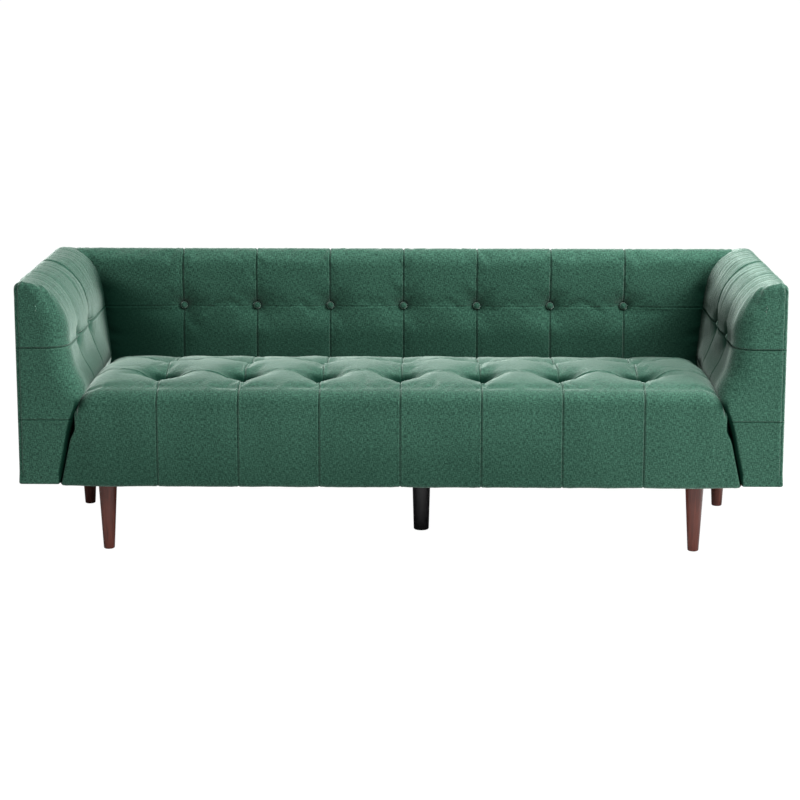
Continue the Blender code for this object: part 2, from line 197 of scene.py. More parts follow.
class Value:
    """A shader socket whose arithmetic adds Math nodes."""

    def __init__(self, shader, socket):
        self.shader = shader
        self.socket = socket

    def math(self, operation, first, second):
        return self.shader.node("ShaderNodeMath", {"operation": operation}, {0: first, 1: second})

    def __add__(self, other):
        return self.math("ADD", self, other)

    def __radd__(self, other):
        return self.math("ADD", other, self)

    def __sub__(self, other):
        return self.math("SUBTRACT", self, other)

    def __rsub__(self, other):
        return self.math("SUBTRACT", other, self)

    def __mul__(self, other):
        return self.math("MULTIPLY", self, other)

    def __rmul__(self, other):
        return self.math("MULTIPLY", other, self)

    def clamped(self):
        return self.shader.node("ShaderNodeClamp", {}, {"Value": self})


def spaced(sockets):
    """Socket values under the sockets' own names, which have spaces where the keys have underscores."""
    return {key.replace("_", " "): value for key, value in sockets.items()}


class Shader:
    """A new material whose nodes are added one call at a time."""

    def __init__(self, name):
        self.material = bpy.data.materials.new(name)
        self.material.use_nodes = True
        self.tree = self.material.node_tree
        self.surface = self.tree.nodes["Principled BSDF"]

    def feed(self, socket, value):
        if isinstance(value, Value):
            self.tree.links.new(value.socket, socket)
        elif value is not None:
            socket.default_value = value

    def node(self, kind, settings, values, output=0):
        """Adds a node of a type, sets it up, then gives its sockets values or links."""
        made = self.tree.nodes.new(kind)
        for key, setting in settings.items():
            setattr(made, key, setting)
        for key, value in values.items():
            self.feed(made.inputs[key], value)
        return Value(self, made.outputs[output])

    def finish(self, **sockets):
        """Sets or links the surface's own sockets, named with underscores for spaces."""
        for key, value in spaced(sockets).items():
            self.feed(self.surface.inputs[key], value)
        return self.material

    def blend(self, share, **sockets):
        """Mixes the surface, by a share, with a second one that has these socket values."""
        first = Value(self, self.surface.outputs[0])
        second = self.node("ShaderNodeBsdfPrincipled", {}, spaced(sockets))
        mixed = self.node("ShaderNodeMixShader", {}, {0: share, 1: first, 2: second})
        self.feed(self.tree.nodes["Material Output"].inputs["Surface"], mixed)
        return self.material

    def cloth(self, along, across):
        """The piece's fabric coordinates, scaled by two numbers of cells in each metre."""
        place = self.node("ShaderNodeUVMap", {"uv_map": "cloth"}, {})
        return self.node("ShaderNodeMapping", {}, {"Vector": place, "Scale": (along, across, 1.0)})

    def solid(self, x, y, z):
        """The piece's own place in space, scaled by a number of cells in each metre along each axis."""
        place = self.node("ShaderNodeTexCoord", {}, {}, "Object")
        return self.node("ShaderNodeMapping", {}, {"Vector": place, "Scale": (x, y, z)})

    def noise(self, vector, detail, distortion=0.0):
        values = {"Vector": vector, "Scale": 1.0, "Detail": detail, "Distortion": distortion}
        return self.node("ShaderNodeTexNoise", {}, values)

    def mix(self, share, first, second):
        """Two colours mixed by a share from 0 to 1."""
        values = {0: share, 6: (*first, 1.0), 7: (*second, 1.0)}
        return self.node("ShaderNodeMix", {"data_type": "RGBA"}, values, 2)

    def bump(self, height, distance, strength):
        values = {"Height": height, "Distance": distance, "Strength": strength}
        return self.node("ShaderNodeBump", {}, values)


@functools.cache
def velvet():
    """Short pile over a slubbed crosswise weave: streaks both ways, a soft nap and a pale bloom, mixed with a
    darker sheenless copy by each piece's painted shade.
    """
    colours = bpy.context.scene.sofa_colours
    cloth = Shader("velvet")
    warp = cloth.noise(cloth.cloth(520.0, 110.0), 1.0)
    weft = cloth.noise(cloth.cloth(110.0, 520.0), 1.0)
    nap = cloth.noise(cloth.solid(5.0, 5.0, 5.0), 3.0)
    weave = (warp + weft - 1.0) * 2.2 + 0.42
    tone = (weave + (nap - 0.5) * 0.5).clamped()
    colour = cloth.mix(tone, tuple(colours.velvet), tuple(colours.velvet_light))
    cloth.finish(
        Base_Color=colour,
        Roughness=0.92 - tone * 0.14,
        Sheen_Weight=0.8,
        Sheen_Tint=(*colours.bloom, 1.0),
        Sheen_Roughness=0.40,
        Specular_IOR_Level=0.2,
        Normal=cloth.bump(weave, 0.0007, 0.6),
    )
    # Painted shade: a darker copy of the velvet without sheen, mixed in where a piece's shade share is high,
    # in seams, tufts and corners.
    painted_shade = cloth.node("ShaderNodeAttribute", {"attribute_name": "painted_shade"}, {}, "Fac")
    shadow = (*(c * 0.45 for c in colours.velvet), 1.0)
    return cloth.blend(painted_shade, Base_Color=shadow, Roughness=0.95, Specular_IOR_Level=0.0)


@functools.cache
def wood(name, stain):
    """Stained hardwood with long grain up the piece, open pores and a satin coat."""
    timber = Shader(name)
    streak = 0.45
    grain = timber.noise(timber.solid(140.0, 140.0, 7.0), 5.0, 0.6)
    pores = timber.noise(timber.solid(900.0, 900.0, 30.0), 2.0)
    flow = timber.noise(timber.solid(22.0, 22.0, 2.0), 2.0)
    shade = ((grain - 0.5) * 1.6 + (flow - 0.5) * 0.8 + 0.5).clamped()
    dark = tuple(c * (1 - streak) for c in stain)
    light = tuple(min(1.0, c * (1 + streak * 1.4)) for c in stain)
    return timber.finish(
        Base_Color=timber.mix(shade, dark, light),
        Roughness=0.38 + (pores - 0.5) * 0.2,
        Coat_Weight=0.1,
        Coat_Roughness=0.25,
        Specular_IOR_Level=0.3,
        Normal=timber.bump(grain + pores * 0.6, 0.0002, 0.35),
    )


@functools.cache
def sawn_timber():
    """Bare softwood of the frame with saw marks."""
    timber = Shader("sawn_timber")
    grain = timber.noise(timber.solid(4.0, 60.0, 60.0), 5.0, 0.8)
    saw = timber.noise(timber.solid(260.0, 12.0, 12.0), 1.0)
    return timber.finish(
        Base_Color=timber.mix(grain, (0.42, 0.27, 0.14), (0.66, 0.50, 0.31)),
        Roughness=0.72 + (grain - 0.5) * 0.2,
        Normal=timber.bump(grain + saw * 0.5, 0.0005, 0.5),
    )


@functools.cache
def hardboard():
    """Pressed brown fibre with darker blotches."""
    board = Shader("hardboard")
    fibre = board.noise(board.solid(300.0, 300.0, 300.0), 4.0)
    blotch = board.noise(board.solid(14.0, 14.0, 14.0), 3.0)
    return board.finish(
        Base_Color=board.mix(fibre * 0.6 + blotch * 0.4, (0.22, 0.13, 0.07), (0.42, 0.28, 0.17)),
        Roughness=0.7 + (blotch - 0.5) * 0.2,
        Normal=board.bump(fibre, 0.0003, 0.5),
    )


@functools.cache
def steel():
    """Scuffed grey spring steel."""
    metal = Shader("spring_steel")
    scuff = metal.noise(metal.solid(90.0, 90.0, 90.0), 4.0)
    return metal.finish(
        Base_Color=metal.mix(scuff, (0.30, 0.30, 0.31), (0.55, 0.55, 0.56)),
        Roughness=0.28 + scuff * 0.25,
        Metallic=1.0,
        Normal=metal.bump(scuff, 0.0001, 0.3),
    )


@functools.cache
def dust_cloth():
    """Black non-woven cloth with a pressed dimple pattern."""
    cloth = Shader("dust_cloth")
    fibre = cloth.noise(cloth.solid(420.0, 420.0, 420.0), 3.0)
    values = {"Vector": cloth.solid(260.0, 260.0, 260.0), "Scale": 1.0}
    dimple = cloth.node("ShaderNodeTexVoronoi", {}, values)
    return cloth.finish(
        Base_Color=cloth.mix(fibre, (0.010, 0.010, 0.011), (0.032, 0.032, 0.034)),
        Roughness=0.9 - fibre * 0.1,
        Normal=cloth.bump(fibre + dimple * 0.5, 0.0004, 0.6),
    )


@functools.cache
def black_plastic():
    """Moulded black plastic with a fine grain."""
    plastic = Shader("black_plastic")
    grain = plastic.noise(plastic.solid(1200.0, 1200.0, 1200.0), 2.0)
    return plastic.finish(
        Base_Color=plastic.mix(grain, (0.010, 0.010, 0.010), (0.022, 0.022, 0.023)),
        Roughness=0.42 + (grain - 0.5) * 0.15,
        Normal=plastic.bump(grain, 0.0001, 0.3),
    )


# Surfaces as arrays


def smooth(low, high, values):
    """0 below low, 1 above high, and a smooth step between."""
    t = np.clip((values - low) / (high - low), 0.0, 1.0)
    return t * t * (3 - 2 * t)


def bell(distance, width):
    """exp(-(distance / width)^2): 1 at no distance, soon 0 past the width."""
    return np.exp(-((distance / width) ** 2))


def dimmed(share):
    """The share of the darker, painted-shade copy of the velvet that makes a place look darker to the eye by
    a share: 1 - (1 - share)^2.2.
    """
    return 1 - (1 - np.clip(share, 0.0, 1.0)) ** 2.2


def ripple(t, seed, lengths):
    """A sum of sines along t, one of each wavelength, with phases from a seed, from about -1 to 1."""
    phases = np.random.default_rng(seed).uniform(0, 2 * np.pi, len(lengths))
    waves = [np.sin(2 * np.pi * t / length + phase) for length, phase in zip(lengths, phases)]
    return sum(waves) / math.sqrt(len(lengths))


def arc(centre, radius, start, end, steps):
    """Points along a circle, from one angle to another in degrees."""
    angles = np.radians(np.linspace(start, end, steps + 1))
    return [(centre[0] + radius * math.cos(a), centre[1] + radius * math.sin(a)) for a in angles]


class Outline:
    """A run of points in a plane that is read by its length."""

    def __init__(self, points):
        self.points = np.array(points, float)
        steps = np.linalg.norm(np.diff(self.points, axis=0), axis=1)
        self.length = np.concatenate([[0.0], np.cumsum(steps)])
        self.total = self.length[-1]

    def at(self, s):
        return [np.interp(s, self.length, self.points[:, k]) for k in (0, 1)]

    def length_near(self, point):
        """The length at which the outline passes nearest to one of its own points."""
        gaps = np.linalg.norm(self.points - np.array(point), axis=1)
        return self.length[int(np.argmin(gaps))]


def stations(start, end, step, seams):
    """Places from start to end a step apart, and finer within reach of each seam."""
    fine, reach = 0.0016, 0.008
    count = max(2, int(round((end - start) / step)))
    places = list(np.linspace(start, end, count + 1))
    for seam in seams:
        places = [p for p in places if abs(p - seam) > reach or p in (start, end)]
        near = np.arange(-reach, reach + fine / 2, fine)
        places += [seam + d for d in near if start < seam + d < end]
    return np.array(sorted(places))


def normals_of(points, wrap_rows=False, wrap_columns=False):
    """Unit normals of a grid: the cross product of its steps along the columns and along the rows."""

    def steps(axis, wrap):
        if wrap:
            return np.roll(points, -1, axis) - np.roll(points, 1, axis)
        return np.gradient(points, axis=axis)

    across = np.cross(steps(1, wrap_columns), steps(0, wrap_rows))
    length = np.linalg.norm(across, axis=-1, keepdims=True)
    return across / np.maximum(length, 1e-12)


def grid_faces(rows, columns, wrap_rows=False, wrap_columns=False):
    """Four-cornered faces between neighbours in a grid of rows and columns."""
    r = np.arange(rows if wrap_rows else rows - 1)
    c = np.arange(columns if wrap_columns else columns - 1)
    r, c = np.meshgrid(r, c, indexing="ij")
    r2, c2 = (r + 1) % rows, (c + 1) % columns
    corners = [r * columns + c, r * columns + c2, r2 * columns + c2, r2 * columns + c]
    return np.stack([k.ravel() for k in corners], axis=1)


def cloth_coordinates(mesh):
    """Fabric coordinates in metres: each face is laid flat along the axis that it faces most."""
    count = len(mesh.loops)
    vertex = np.empty(count, np.int32)
    mesh.loops.foreach_get("vertex_index", vertex)
    places = np.empty(len(mesh.vertices) * 3, np.float32)
    mesh.vertices.foreach_get("co", places)
    places = places.reshape(-1, 3)[vertex]
    sizes = np.empty(len(mesh.polygons), np.int32)
    mesh.polygons.foreach_get("loop_total", sizes)
    facing = np.empty(len(mesh.polygons) * 3, np.float32)
    mesh.polygons.foreach_get("normal", facing)
    facing = np.repeat(np.abs(facing.reshape(-1, 3)), sizes, axis=0)
    along_x = (facing[:, 0] > facing[:, 1]) & (facing[:, 0] > facing[:, 2])
    upward = (facing[:, 2] >= facing[:, 0]) & (facing[:, 2] >= facing[:, 1])
    u = np.where(along_x, places[:, 1], places[:, 0])
    v = np.where(upward, places[:, 1], places[:, 2])
    layer = mesh.uv_layers.new(name="cloth")
    layer.data.foreach_set("uv", np.stack([u, v], axis=1).astype(np.float32).ravel())


def add_piece(name, points, faces, finish, replaces, painted_shade=None):
    """Makes a mesh piece, welds what meets, turns its faces outward and rides it on the sofa."""
    mesh = bpy.data.meshes.new(name)
    mesh.from_pydata(points.reshape(-1, 3).tolist(), [], [list(map(int, f)) for f in faces])
    # The share of painted shade at each point, kept on the mesh for the velvet's darker copy.
    if painted_shade is not None:
        layer = mesh.attributes.new("painted_shade", "FLOAT", "POINT")
        layer.data.foreach_set("value", np.clip(painted_shade, 0, 1).astype(np.float32).ravel())
    shape = bmesh.new()
    shape.from_mesh(mesh)
    bmesh.ops.remove_doubles(shape, verts=shape.verts, dist=WELD)
    bmesh.ops.recalc_face_normals(shape, faces=shape.faces)
    shape.to_mesh(mesh)
    shape.free()
    mesh.update()
    cloth_coordinates(mesh)
    mesh.shade_smooth()
    obj = bpy.data.objects.new(name, mesh)
    bpy.context.scene.collection.objects.link(obj)
    mesh.materials.append(finish)
    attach(obj, "root")
    if replaces:
        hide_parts(*replaces)
    return obj


def tuft(distance, depth, reach):
    """How far a button pulls the cloth in: depth * exp(-(distance / reach)^1.15)."""
    return depth * np.exp(-((distance / reach) ** 1.15))


def puckers(across, along, reach, depth, folds, turn, seed):
    """Small folds that run out from a button: sharp cosine ridges around it that fade with distance."""
    distance = np.hypot(across, along)
    angle = np.arctan2(along, across) + turn + ripple(distance, seed, (0.09, 0.05)) * 0.35
    ridge = np.abs(np.cos(angle * folds / 2)) ** 0.6
    fade = smooth(0.004, 0.4 * reach, distance) * bell(distance, reach)
    return depth * fade * (ridge - 0.6)


def fold_line(across, along, angle, length):
    """A fold that runs out from a button at an angle and bends aside by six times its length squared.

    It is 1 along its middle, bell-shaped across, and tapers in width and strength to its end.
    """
    cosine, sine = math.cos(angle), math.sin(angle)
    out = across * cosine + along * sine
    aside = across * sine - along * cosine + 6.0 * out * out * np.sign(cosine)
    share = np.clip(out / length, 0.0, 1.0)
    return bell(aside, 0.0045 - 0.002 * share) * (1 - share) ** 0.7 * (out > 0)


def seam(distance):
    """A stitched seam: a narrow groove between two slightly raised edges."""
    sizes = bpy.context.scene.sofa_sizes
    width, depth = sizes.seam_width, sizes.seam_depth
    return -depth * bell(distance, width) + 0.28 * depth * bell(np.abs(distance) - 2.1 * width, width)


def nearest(values, marks):
    """Signed distance from each value to the nearest mark."""
    gaps = values[..., None] - np.array(marks)
    index = np.argmin(np.abs(gaps), axis=-1)[..., None]
    return np.take_along_axis(gaps, index, axis=-1)[..., 0]


def spread(columns_x, half):
    """Places across the sofa, kept up to the outer button column and stretched past it to put 1 at half."""
    outer = COLUMNS[-1]
    share = np.clip((np.abs(columns_x) - outer) / (1.0 - outer), 0.0, 1.0)
    moved = outer + share * (half - outer)
    return np.where(np.abs(columns_x) > outer, np.sign(columns_x) * moved, columns_x)


def across_stations():
    """Columns from end to end, where 1 stands for the end of the padding, fine at each seam."""
    ends = [s * (1.0 - d) for s in (-1, 1) for d in (0.004, 0.012, 0.024, 0.04)]
    inner = stations(-COLUMNS[-1] - 0.04, COLUMNS[-1] + 0.04, COLUMN_STEP, COLUMNS)
    outer = np.linspace(COLUMNS[-1] + 0.04, 1.0, 36)[1:]
    return np.unique(np.round(np.concatenate([-outer, inner, outer, ends]), 6))


def round_ends(points, outward, radius):
    """Adds columns past both ends of a tube of rings: a quarter round, then a step inward.

    At an angle, a column is radius * sin(angle) past the end and radius * (1 - cos(angle)) inside.
    """
    extra = []
    for column, side in ((0, -1), (-1, 1)):
        ring, normal = points[:, column], outward[:, column] * np.array([0, 1, 1])
        normal = normal / np.maximum(np.linalg.norm(normal, axis=1, keepdims=True), 1e-9)
        run = []
        for angle in np.radians((18, 36, 54, 72, 90)):
            out = np.array([side * radius * math.sin(angle), 0, 0])
            run.append(ring + out - normal * radius * (1 - math.cos(angle)))
        run.append(run[-1] - normal * 0.012)
        extra.append(run)
    left, right = extra
    return np.concatenate([np.stack(left[::-1], 1), points, np.stack(right, 1)], axis=1)


def close_ends(faces, rows, columns):
    """Adds a face over each end of a tube of rings, the rings running down the rows."""
    first = [r * columns for r in range(rows)]
    last = [r * columns + columns - 1 for r in range(rows)]
    return [list(f) for f in faces] + [first[::-1], last]


def weights(known, wanted):
    """The matrix that reads values known at some places at the wanted ones, by a Catmull-Rom spline."""
    place = np.interp(wanted, known, np.arange(len(known)))
    first = np.minimum(place.astype(int), len(known) - 2)
    t = place - first
    parts = (-t + 2 * t**2 - t**3, 2 - 5 * t**2 + 3 * t**3, t + 4 * t**2 - 3 * t**3, t**3 - t**2)
    matrix = np.zeros((len(wanted), len(known)))
    for shift, part in zip((-1, 0, 1, 2), parts):
        column = np.clip(first + shift, 0, len(known) - 1)
        np.add.at(matrix, (np.arange(len(wanted)), column), part / 2)
    return matrix


def read_moves(moves, coarse, wanted):
    """Moves of a coarse grid read on a fine one: row weights times moves times column weights."""
    rows, columns = (weights(known, places) for known, places in zip(coarse, wanted))
    return np.einsum("ij,jkc,lk->ilc", rows, moves, columns)


def darkest(*shades):
    """The greatest of some shades at each point."""
    return functools.reduce(np.maximum, shades)


def settle(start, held, pressure, spare):
    """Lets a grid of cloth settle: blown outward, cut larger by a spare share, and held where held is 1.

    It returns the settled grid. Nothing of the simulation is left behind.
    """
    rows, columns = held.shape
    mesh = bpy.data.meshes.new("settling")
    mesh.from_pydata(start.reshape(-1, 3).tolist(), [], grid_faces(rows, columns).tolist())
    obj = bpy.data.objects.new("settling", mesh)
    scene = bpy.context.scene
    scene.collection.objects.link(obj)
    group = obj.vertex_groups.new(name="held")
    flat = held.ravel()
    for level in np.unique(np.round(flat, 2)):
        group.add(np.flatnonzero(np.round(flat, 2) == level).tolist(), float(level), "REPLACE")
    cloth = obj.modifiers.new("cloth", "CLOTH")
    put = cloth.settings
    put.quality = 5
    put.mass = 0.3
    put.tension_stiffness = put.compression_stiffness = 18.0
    put.shear_stiffness = 6.0
    put.bending_stiffness = 0.25
    put.air_damping = 2.0
    put.use_pressure = True
    put.uniform_pressure_force = pressure
    put.shrink_min = -spare
    put.vertex_group_mass = "held"
    put.effector_weights.gravity = 0.0
    cloth.collision_settings.use_collision = False
    cloth.collision_settings.use_self_collision = False
    cloth.point_cache.frame_end = SETTLING_FRAMES
    for number in range(1, SETTLING_FRAMES + 1):
        scene.frame_set(number)
    settled = obj.evaluated_get(bpy.context.evaluated_depsgraph_get()).to_mesh()
    places = np.empty(rows * columns * 3)
    settled.vertices.foreach_get("co", places)
    scene.frame_set(1)
    bpy.data.objects.remove(obj)
    bpy.data.meshes.remove(mesh)
    return places.reshape(rows, columns, 3)


def capped(moves, outward, most_out, most_along=0.008):
    """Moves eased down by most * tanh(move / most), outward and along the surface, as foam would do."""
    rise = (moves * outward).sum(axis=-1, keepdims=True)
    slide = moves - rise * outward
    length = np.maximum(np.linalg.norm(slide, axis=-1, keepdims=True), 1e-9)
    rise = np.where(rise > 0, most_out * np.tanh(rise / most_out), rise)
    return rise * outward + slide * most_along * np.tanh(length / most_along) / length


# Seat


def curve(points):
    """A smooth run through points: a Catmull-Rom spline, each stretch led by its neighbours."""
    steps = 8
    p = np.array(points, float)
    p = np.concatenate([2 * p[:1] - p[1:2], p, 2 * p[-1:] - p[-2:-1]])
    t = np.linspace(0, 1, steps, endpoint=False)[:, None]
    run = []
    for a, b, c, d in zip(p, p[1:], p[2:], p[3:]):
        bend = (2 * a - 5 * b + 4 * c - d) + t * (3 * b - a - 3 * c + d)
        run.append(b + t * ((c - a) + t * bend) / 2)
    return [tuple(q) for q in np.concatenate([*run, p[-2:-1]])]


def joint_half(height):
    """Half the seat's width at a height: it flares out and down to the frame below the arms' bulge."""
    flare = np.clip((0.40 - height) / (0.40 - UNDERSIDE), 0.0, 1.0)
    return 0.876 + 0.041 * flare**1.1


def seat_profile():
    """The seat's section from the lip's foot up the front, over the top, down behind and back under the slab.

    It gives the outline, and the lengths at which the front's edge, the top and the hidden part begin.
    """
    foot, edge = 0.006, 0.038
    lip = RAIL_FRONT - SHELL_GAP
    floor = UNDERSIDE - 0.003
    rear = BACK_FACE - 0.001
    under = SLAB_BOTTOM + SHELL_GAP
    shoulder = SEAT_TOP - 0.037
    front = [(lip, floor)] + arc((FRONT + foot, floor + foot), foot, -90, -180, 6)
    turn = arc((FRONT + edge, shoulder - 0.014), edge, 180, 108, 10)
    drops = ((0.062, 0.0070), (0.105, 0.0022), (0.15, 0.0), (0.20, 0.0005))
    drops += ((0.30, 0.003), (0.415, 0.015), (0.52, 0.036))
    round_rear, rear_drop = 0.018, 0.053
    top = [turn[-1]] + [(FRONT + y, SEAT_TOP - down) for y, down in drops]
    top = curve(top + [(rear - round_rear, SEAT_TOP - rear_drop)])
    back = arc((rear - round_rear, SEAT_TOP - rear_drop - round_rear), round_rear, 90, 0, 5)
    whole = Outline(front + turn + top + back + [(rear, under), (lip, under), (lip, floor)])
    ends = (front + turn[:1], front + turn, front + turn + top + back)
    return whole, [Outline(run).total for run in ends]


class SOFA_OT_seat(bpy.types.Operator):
    """Add the tufted seat, a padded slab with a lip down over the front rail"""

    bl_idname = "sofa.seat"
    bl_label = "Seat"

    def execute(self, context):
        sizes = context.scene.sofa_sizes
        profile, marks = seat_profile()
        run = np.linspace(marks[1], marks[2], 400)
        rows = [float(np.interp(FRONT + y, profile.at(run)[0], run)) for y in sizes.seat_rows]
        shown = stations(0.0, marks[2], ROW_STEP, rows)
        hidden = np.linspace(marks[2], profile.total, 26)[1:-1]
        along, across = np.concatenate([shown, hidden]), across_stations()
        points, outward, s, x = self.plain(profile, marks, along, across)
        height, painted_shade = self.swell(x, s, rows, marks, sizes)
        beside_arm = np.clip((np.abs(points[..., 0]) - 0.83) / 0.046, 0, 1)
        height *= (s <= marks[2]) * smooth(0.0, 0.02, s) * (1 - 0.7 * beside_arm)
        coarse_s = np.linspace(0.0, marks[2], int(marks[2] / SEAT_COARSE_STEP))
        coarse_x = np.linspace(-1.0, 1.0, SEAT_COARSE_COLUMNS)
        moves = self.settled(profile, marks, rows, coarse_s, coarse_x, sizes)
        inside = s[:, 0] <= marks[2]
        points[inside] += read_moves(moves, (coarse_s, coarse_x), (s[inside, 0], across))
        points += outward * height[..., None]
        points = round_ends(points, outward, SEAT_END_ROUND)
        # Painted shade: the end columns rolled down into the gap beside each arm are fully shaded, and soft
        # painted shade lies along the ends, rear and lower front.
        painted_shade = np.pad(painted_shade, ((0, 0), (6, 6)), "edge")
        end_columns = 4
        painted_shade[:, :end_columns] = painted_shade[:, -end_columns:] = 1.0
        painted_shade = np.maximum(painted_shade, self.shade(*np.moveaxis(points, -1, 0)))
        faces = close_ends(grid_faces(*points.shape[:2], wrap_rows=True), *points.shape[:2])
        piece = add_piece("seat_upholstery", points, faces, velvet(), ["seat_pad"], painted_shade)
        return {"FINISHED"}

    def shade(self, x, y, z):
        """Soft shade along the ends, most of all at the rear, along the back, and low on the front."""
        deep = np.clip((y - FRONT) / (BACK_FACE - FRONT), 0, 1)
        gap = np.clip(0.862 - np.abs(x), 0, None) / (0.012 + 0.20 * deep**4)
        corner = 0.85 * np.exp(-(gap**1.4)) * smooth(0.40, 0.43, z)
        rear = 0.45 * smooth(BACK_FACE - 0.05, BACK_FACE - 0.005, y)
        below = 0.16 * smooth(-0.40, -0.21, -z) * (1 - smooth(0.3, 0.8, x))
        return dimmed(darkest(corner, rear, below))

    def plain(self, profile, marks, along, across):
        """The slab before padding: its section carried across the sofa, rounded down towards the arms."""
        s, x = np.meshgrid(along, across, indexing="ij")
        y, z = profile.at(s)
        half = joint_half(z)
        x = spread(x, half - SEAT_END_ROUND)
        most_drop = 0.046
        end = np.clip((np.abs(x) - (half - 0.085)) / 0.075, 0, 1)
        drop = most_drop * (1 - np.sqrt(1 - end**2.2)) * smooth(0.31, 0.42, z) * (s <= marks[2])
        points = np.stack([x, y, z - drop], axis=-1)
        outward = normals_of(points, wrap_rows=along[-1] > marks[2])
        outward *= np.sign(outward[len(along) // 3, len(across) // 2, 2] + 1e-9)
        return points, outward, s, x

    def settled(self, profile, marks, rows, along, across, sizes):
        """How the cloth moves when it settles over the foam, held by its buttons, seams and edges."""
        points, outward, s, x = self.plain(profile, marks, along, across)
        pull = np.zeros_like(s)
        on_top = smooth(marks[1] - 0.01, marks[1] + 0.02, s)
        held = 0.7 * (1 - on_top)
        held[[0, 1, -2, -1], :] = held[:, [0, -1]] = 1.0
        for row in rows:
            for place in COLUMNS:
                distance = np.hypot(x - place, s - row)
                pull = np.maximum(pull, tuft(distance, sizes.seat_tuft, 0.032))
                held = np.maximum(held, distance < 0.008)
        start = points - outward * (pull * on_top)[..., None]
        settled = settle(start, held, pressure=2.2, spare=0.02)
        return capped(settled - points, outward, most_out=0.010)

    def swell(self, x, s, rows, marks, sizes):
        """Height over the plain slab: what the seams and the tufts take away, and the front's bulge. It also
        gives painted shade in the seams, the tuft cores, the folds and behind each tuft.
        """
        top_start = marks[1]
        dip, notch_depth, fold_depth, bulge_height, wave = 0.026, 0.013, 0.006, 0.008, 0.0012
        folds = ((155, 0.060), (12, 0.055), (62, 0.030), (205, 0.035))
        on_top = smooth(top_start - 0.01, top_start + 0.035, s)
        column = nearest(x, COLUMNS)
        height = np.zeros_like(s)
        # Painted shade in the seam grooves, the tuft cores, on the shaded wall behind each tuft and along the
        # folds.
        painted_shade = 0.55 * bell(column, 0.0016)
        for row in rows:
            height += seam(s - row) * on_top
            for place in COLUMNS:
                distance = np.hypot((x - place) * 0.55, s - row)
                height -= dip * np.exp(-((distance / 0.021) ** 1.6)) * on_top
                painted_shade = np.maximum(painted_shade, bell(distance, 0.012))
                notch = bell(x - place, 0.034) * smooth(-0.11, -0.012, s - row) * (s < row)
                height -= notch_depth * notch * on_top
                behind = smooth(-0.004, 0.004, s - row) * smooth(-0.042, -0.022, row - s)
                painted_shade = np.maximum(painted_shade, dimmed(0.92 * bell(x - place, 0.036) * behind))
                for angle, length in folds:
                    line = fold_line(x - place, s - row, math.radians(angle), length)
                    height -= fold_depth * line * on_top
                    painted_shade = np.maximum(painted_shade, 0.8 * line**2)
        height -= on_top * 0.003 * np.exp(-np.abs(column) / 0.016)
        height -= (1 - on_top) * 0.0012 * np.exp(-np.abs(column) / 0.012)
        height += seam(column) * (0.8 - 0.2 * on_top) * (0.35 + 0.65 * smooth(0.02, 0.05, s))
        bulge = np.sin(np.clip(s / (top_start + 0.02), 0, 1) * np.pi) ** 0.8
        height += bulge_height * bulge * (1 - on_top)
        height += wave * ripple(x + s * 0.4, 5, (0.31, 0.17, 0.12)) * (0.4 + 0.6 * on_top)
        return height, painted_shade


# Back


def fall(y):
    """How far the tops of the arms and the back fall away behind the back's face."""
    return 0.16 * np.clip(y - (BACK_FACE - 0.015), 0.0, None)


def arm_reach(height):
    """How far from the middle an arm's plain inner face stands at a height.

    It leans inward going down, and above is a broad oval: centre - wide * sqrt(1 - rise^1.9).
    """
    wide, centre, lean = 0.122, 1.0125, 0.018
    rise = np.clip((height - (ARM_TOP - ARM_ROUND)) / ARM_ROUND, 0.0, 1.0)
    face = centre - wide * (1 - rise**1.9) ** 0.5
    return face - lean * np.clip((ARM_TOP - ARM_ROUND - height) / 0.16, 0.0, 1.0)


def front_top_edge():
    """The rounded edge from the back's face to its top."""
    radius = 0.030
    return arc((BACK_FACE + radius, BACK_TOP - radius), radius, 180, 82, 10)


def back_profile():
    """The back's section: up the front, over the top, down the rear, and back along the frame.

    It gives the outline, and the lengths at which the top edge and the cover end.
    """
    rear_round, rear_top = 0.026, BACK_TOP - 0.022
    low = SLAB_BOTTOM + SHELL_GAP
    rear = REAR - 0.0008
    edge = front_top_edge()
    points = [(BACK_FACE, low)] + edge
    points += arc((rear - rear_round, rear_top - rear_round), rear_round, 78, 0, 8)
    top_end = (rear, UNDERSIDE + SHELL_GAP)
    inner = PANEL_REAR + SHELL_GAP
    over = FRAME_TOP + SHELL_GAP
    inside = [top_end, (inner, UNDERSIDE + SHELL_GAP), (inner, over)]
    inside += [(BACK_PLANE - SHELL_GAP, over), (BACK_PLANE - SHELL_GAP, low), (BACK_FACE, low)]
    whole = Outline(points + inside)
    return whole, whole.length_near(edge[-1]), whole.length_near(top_end)


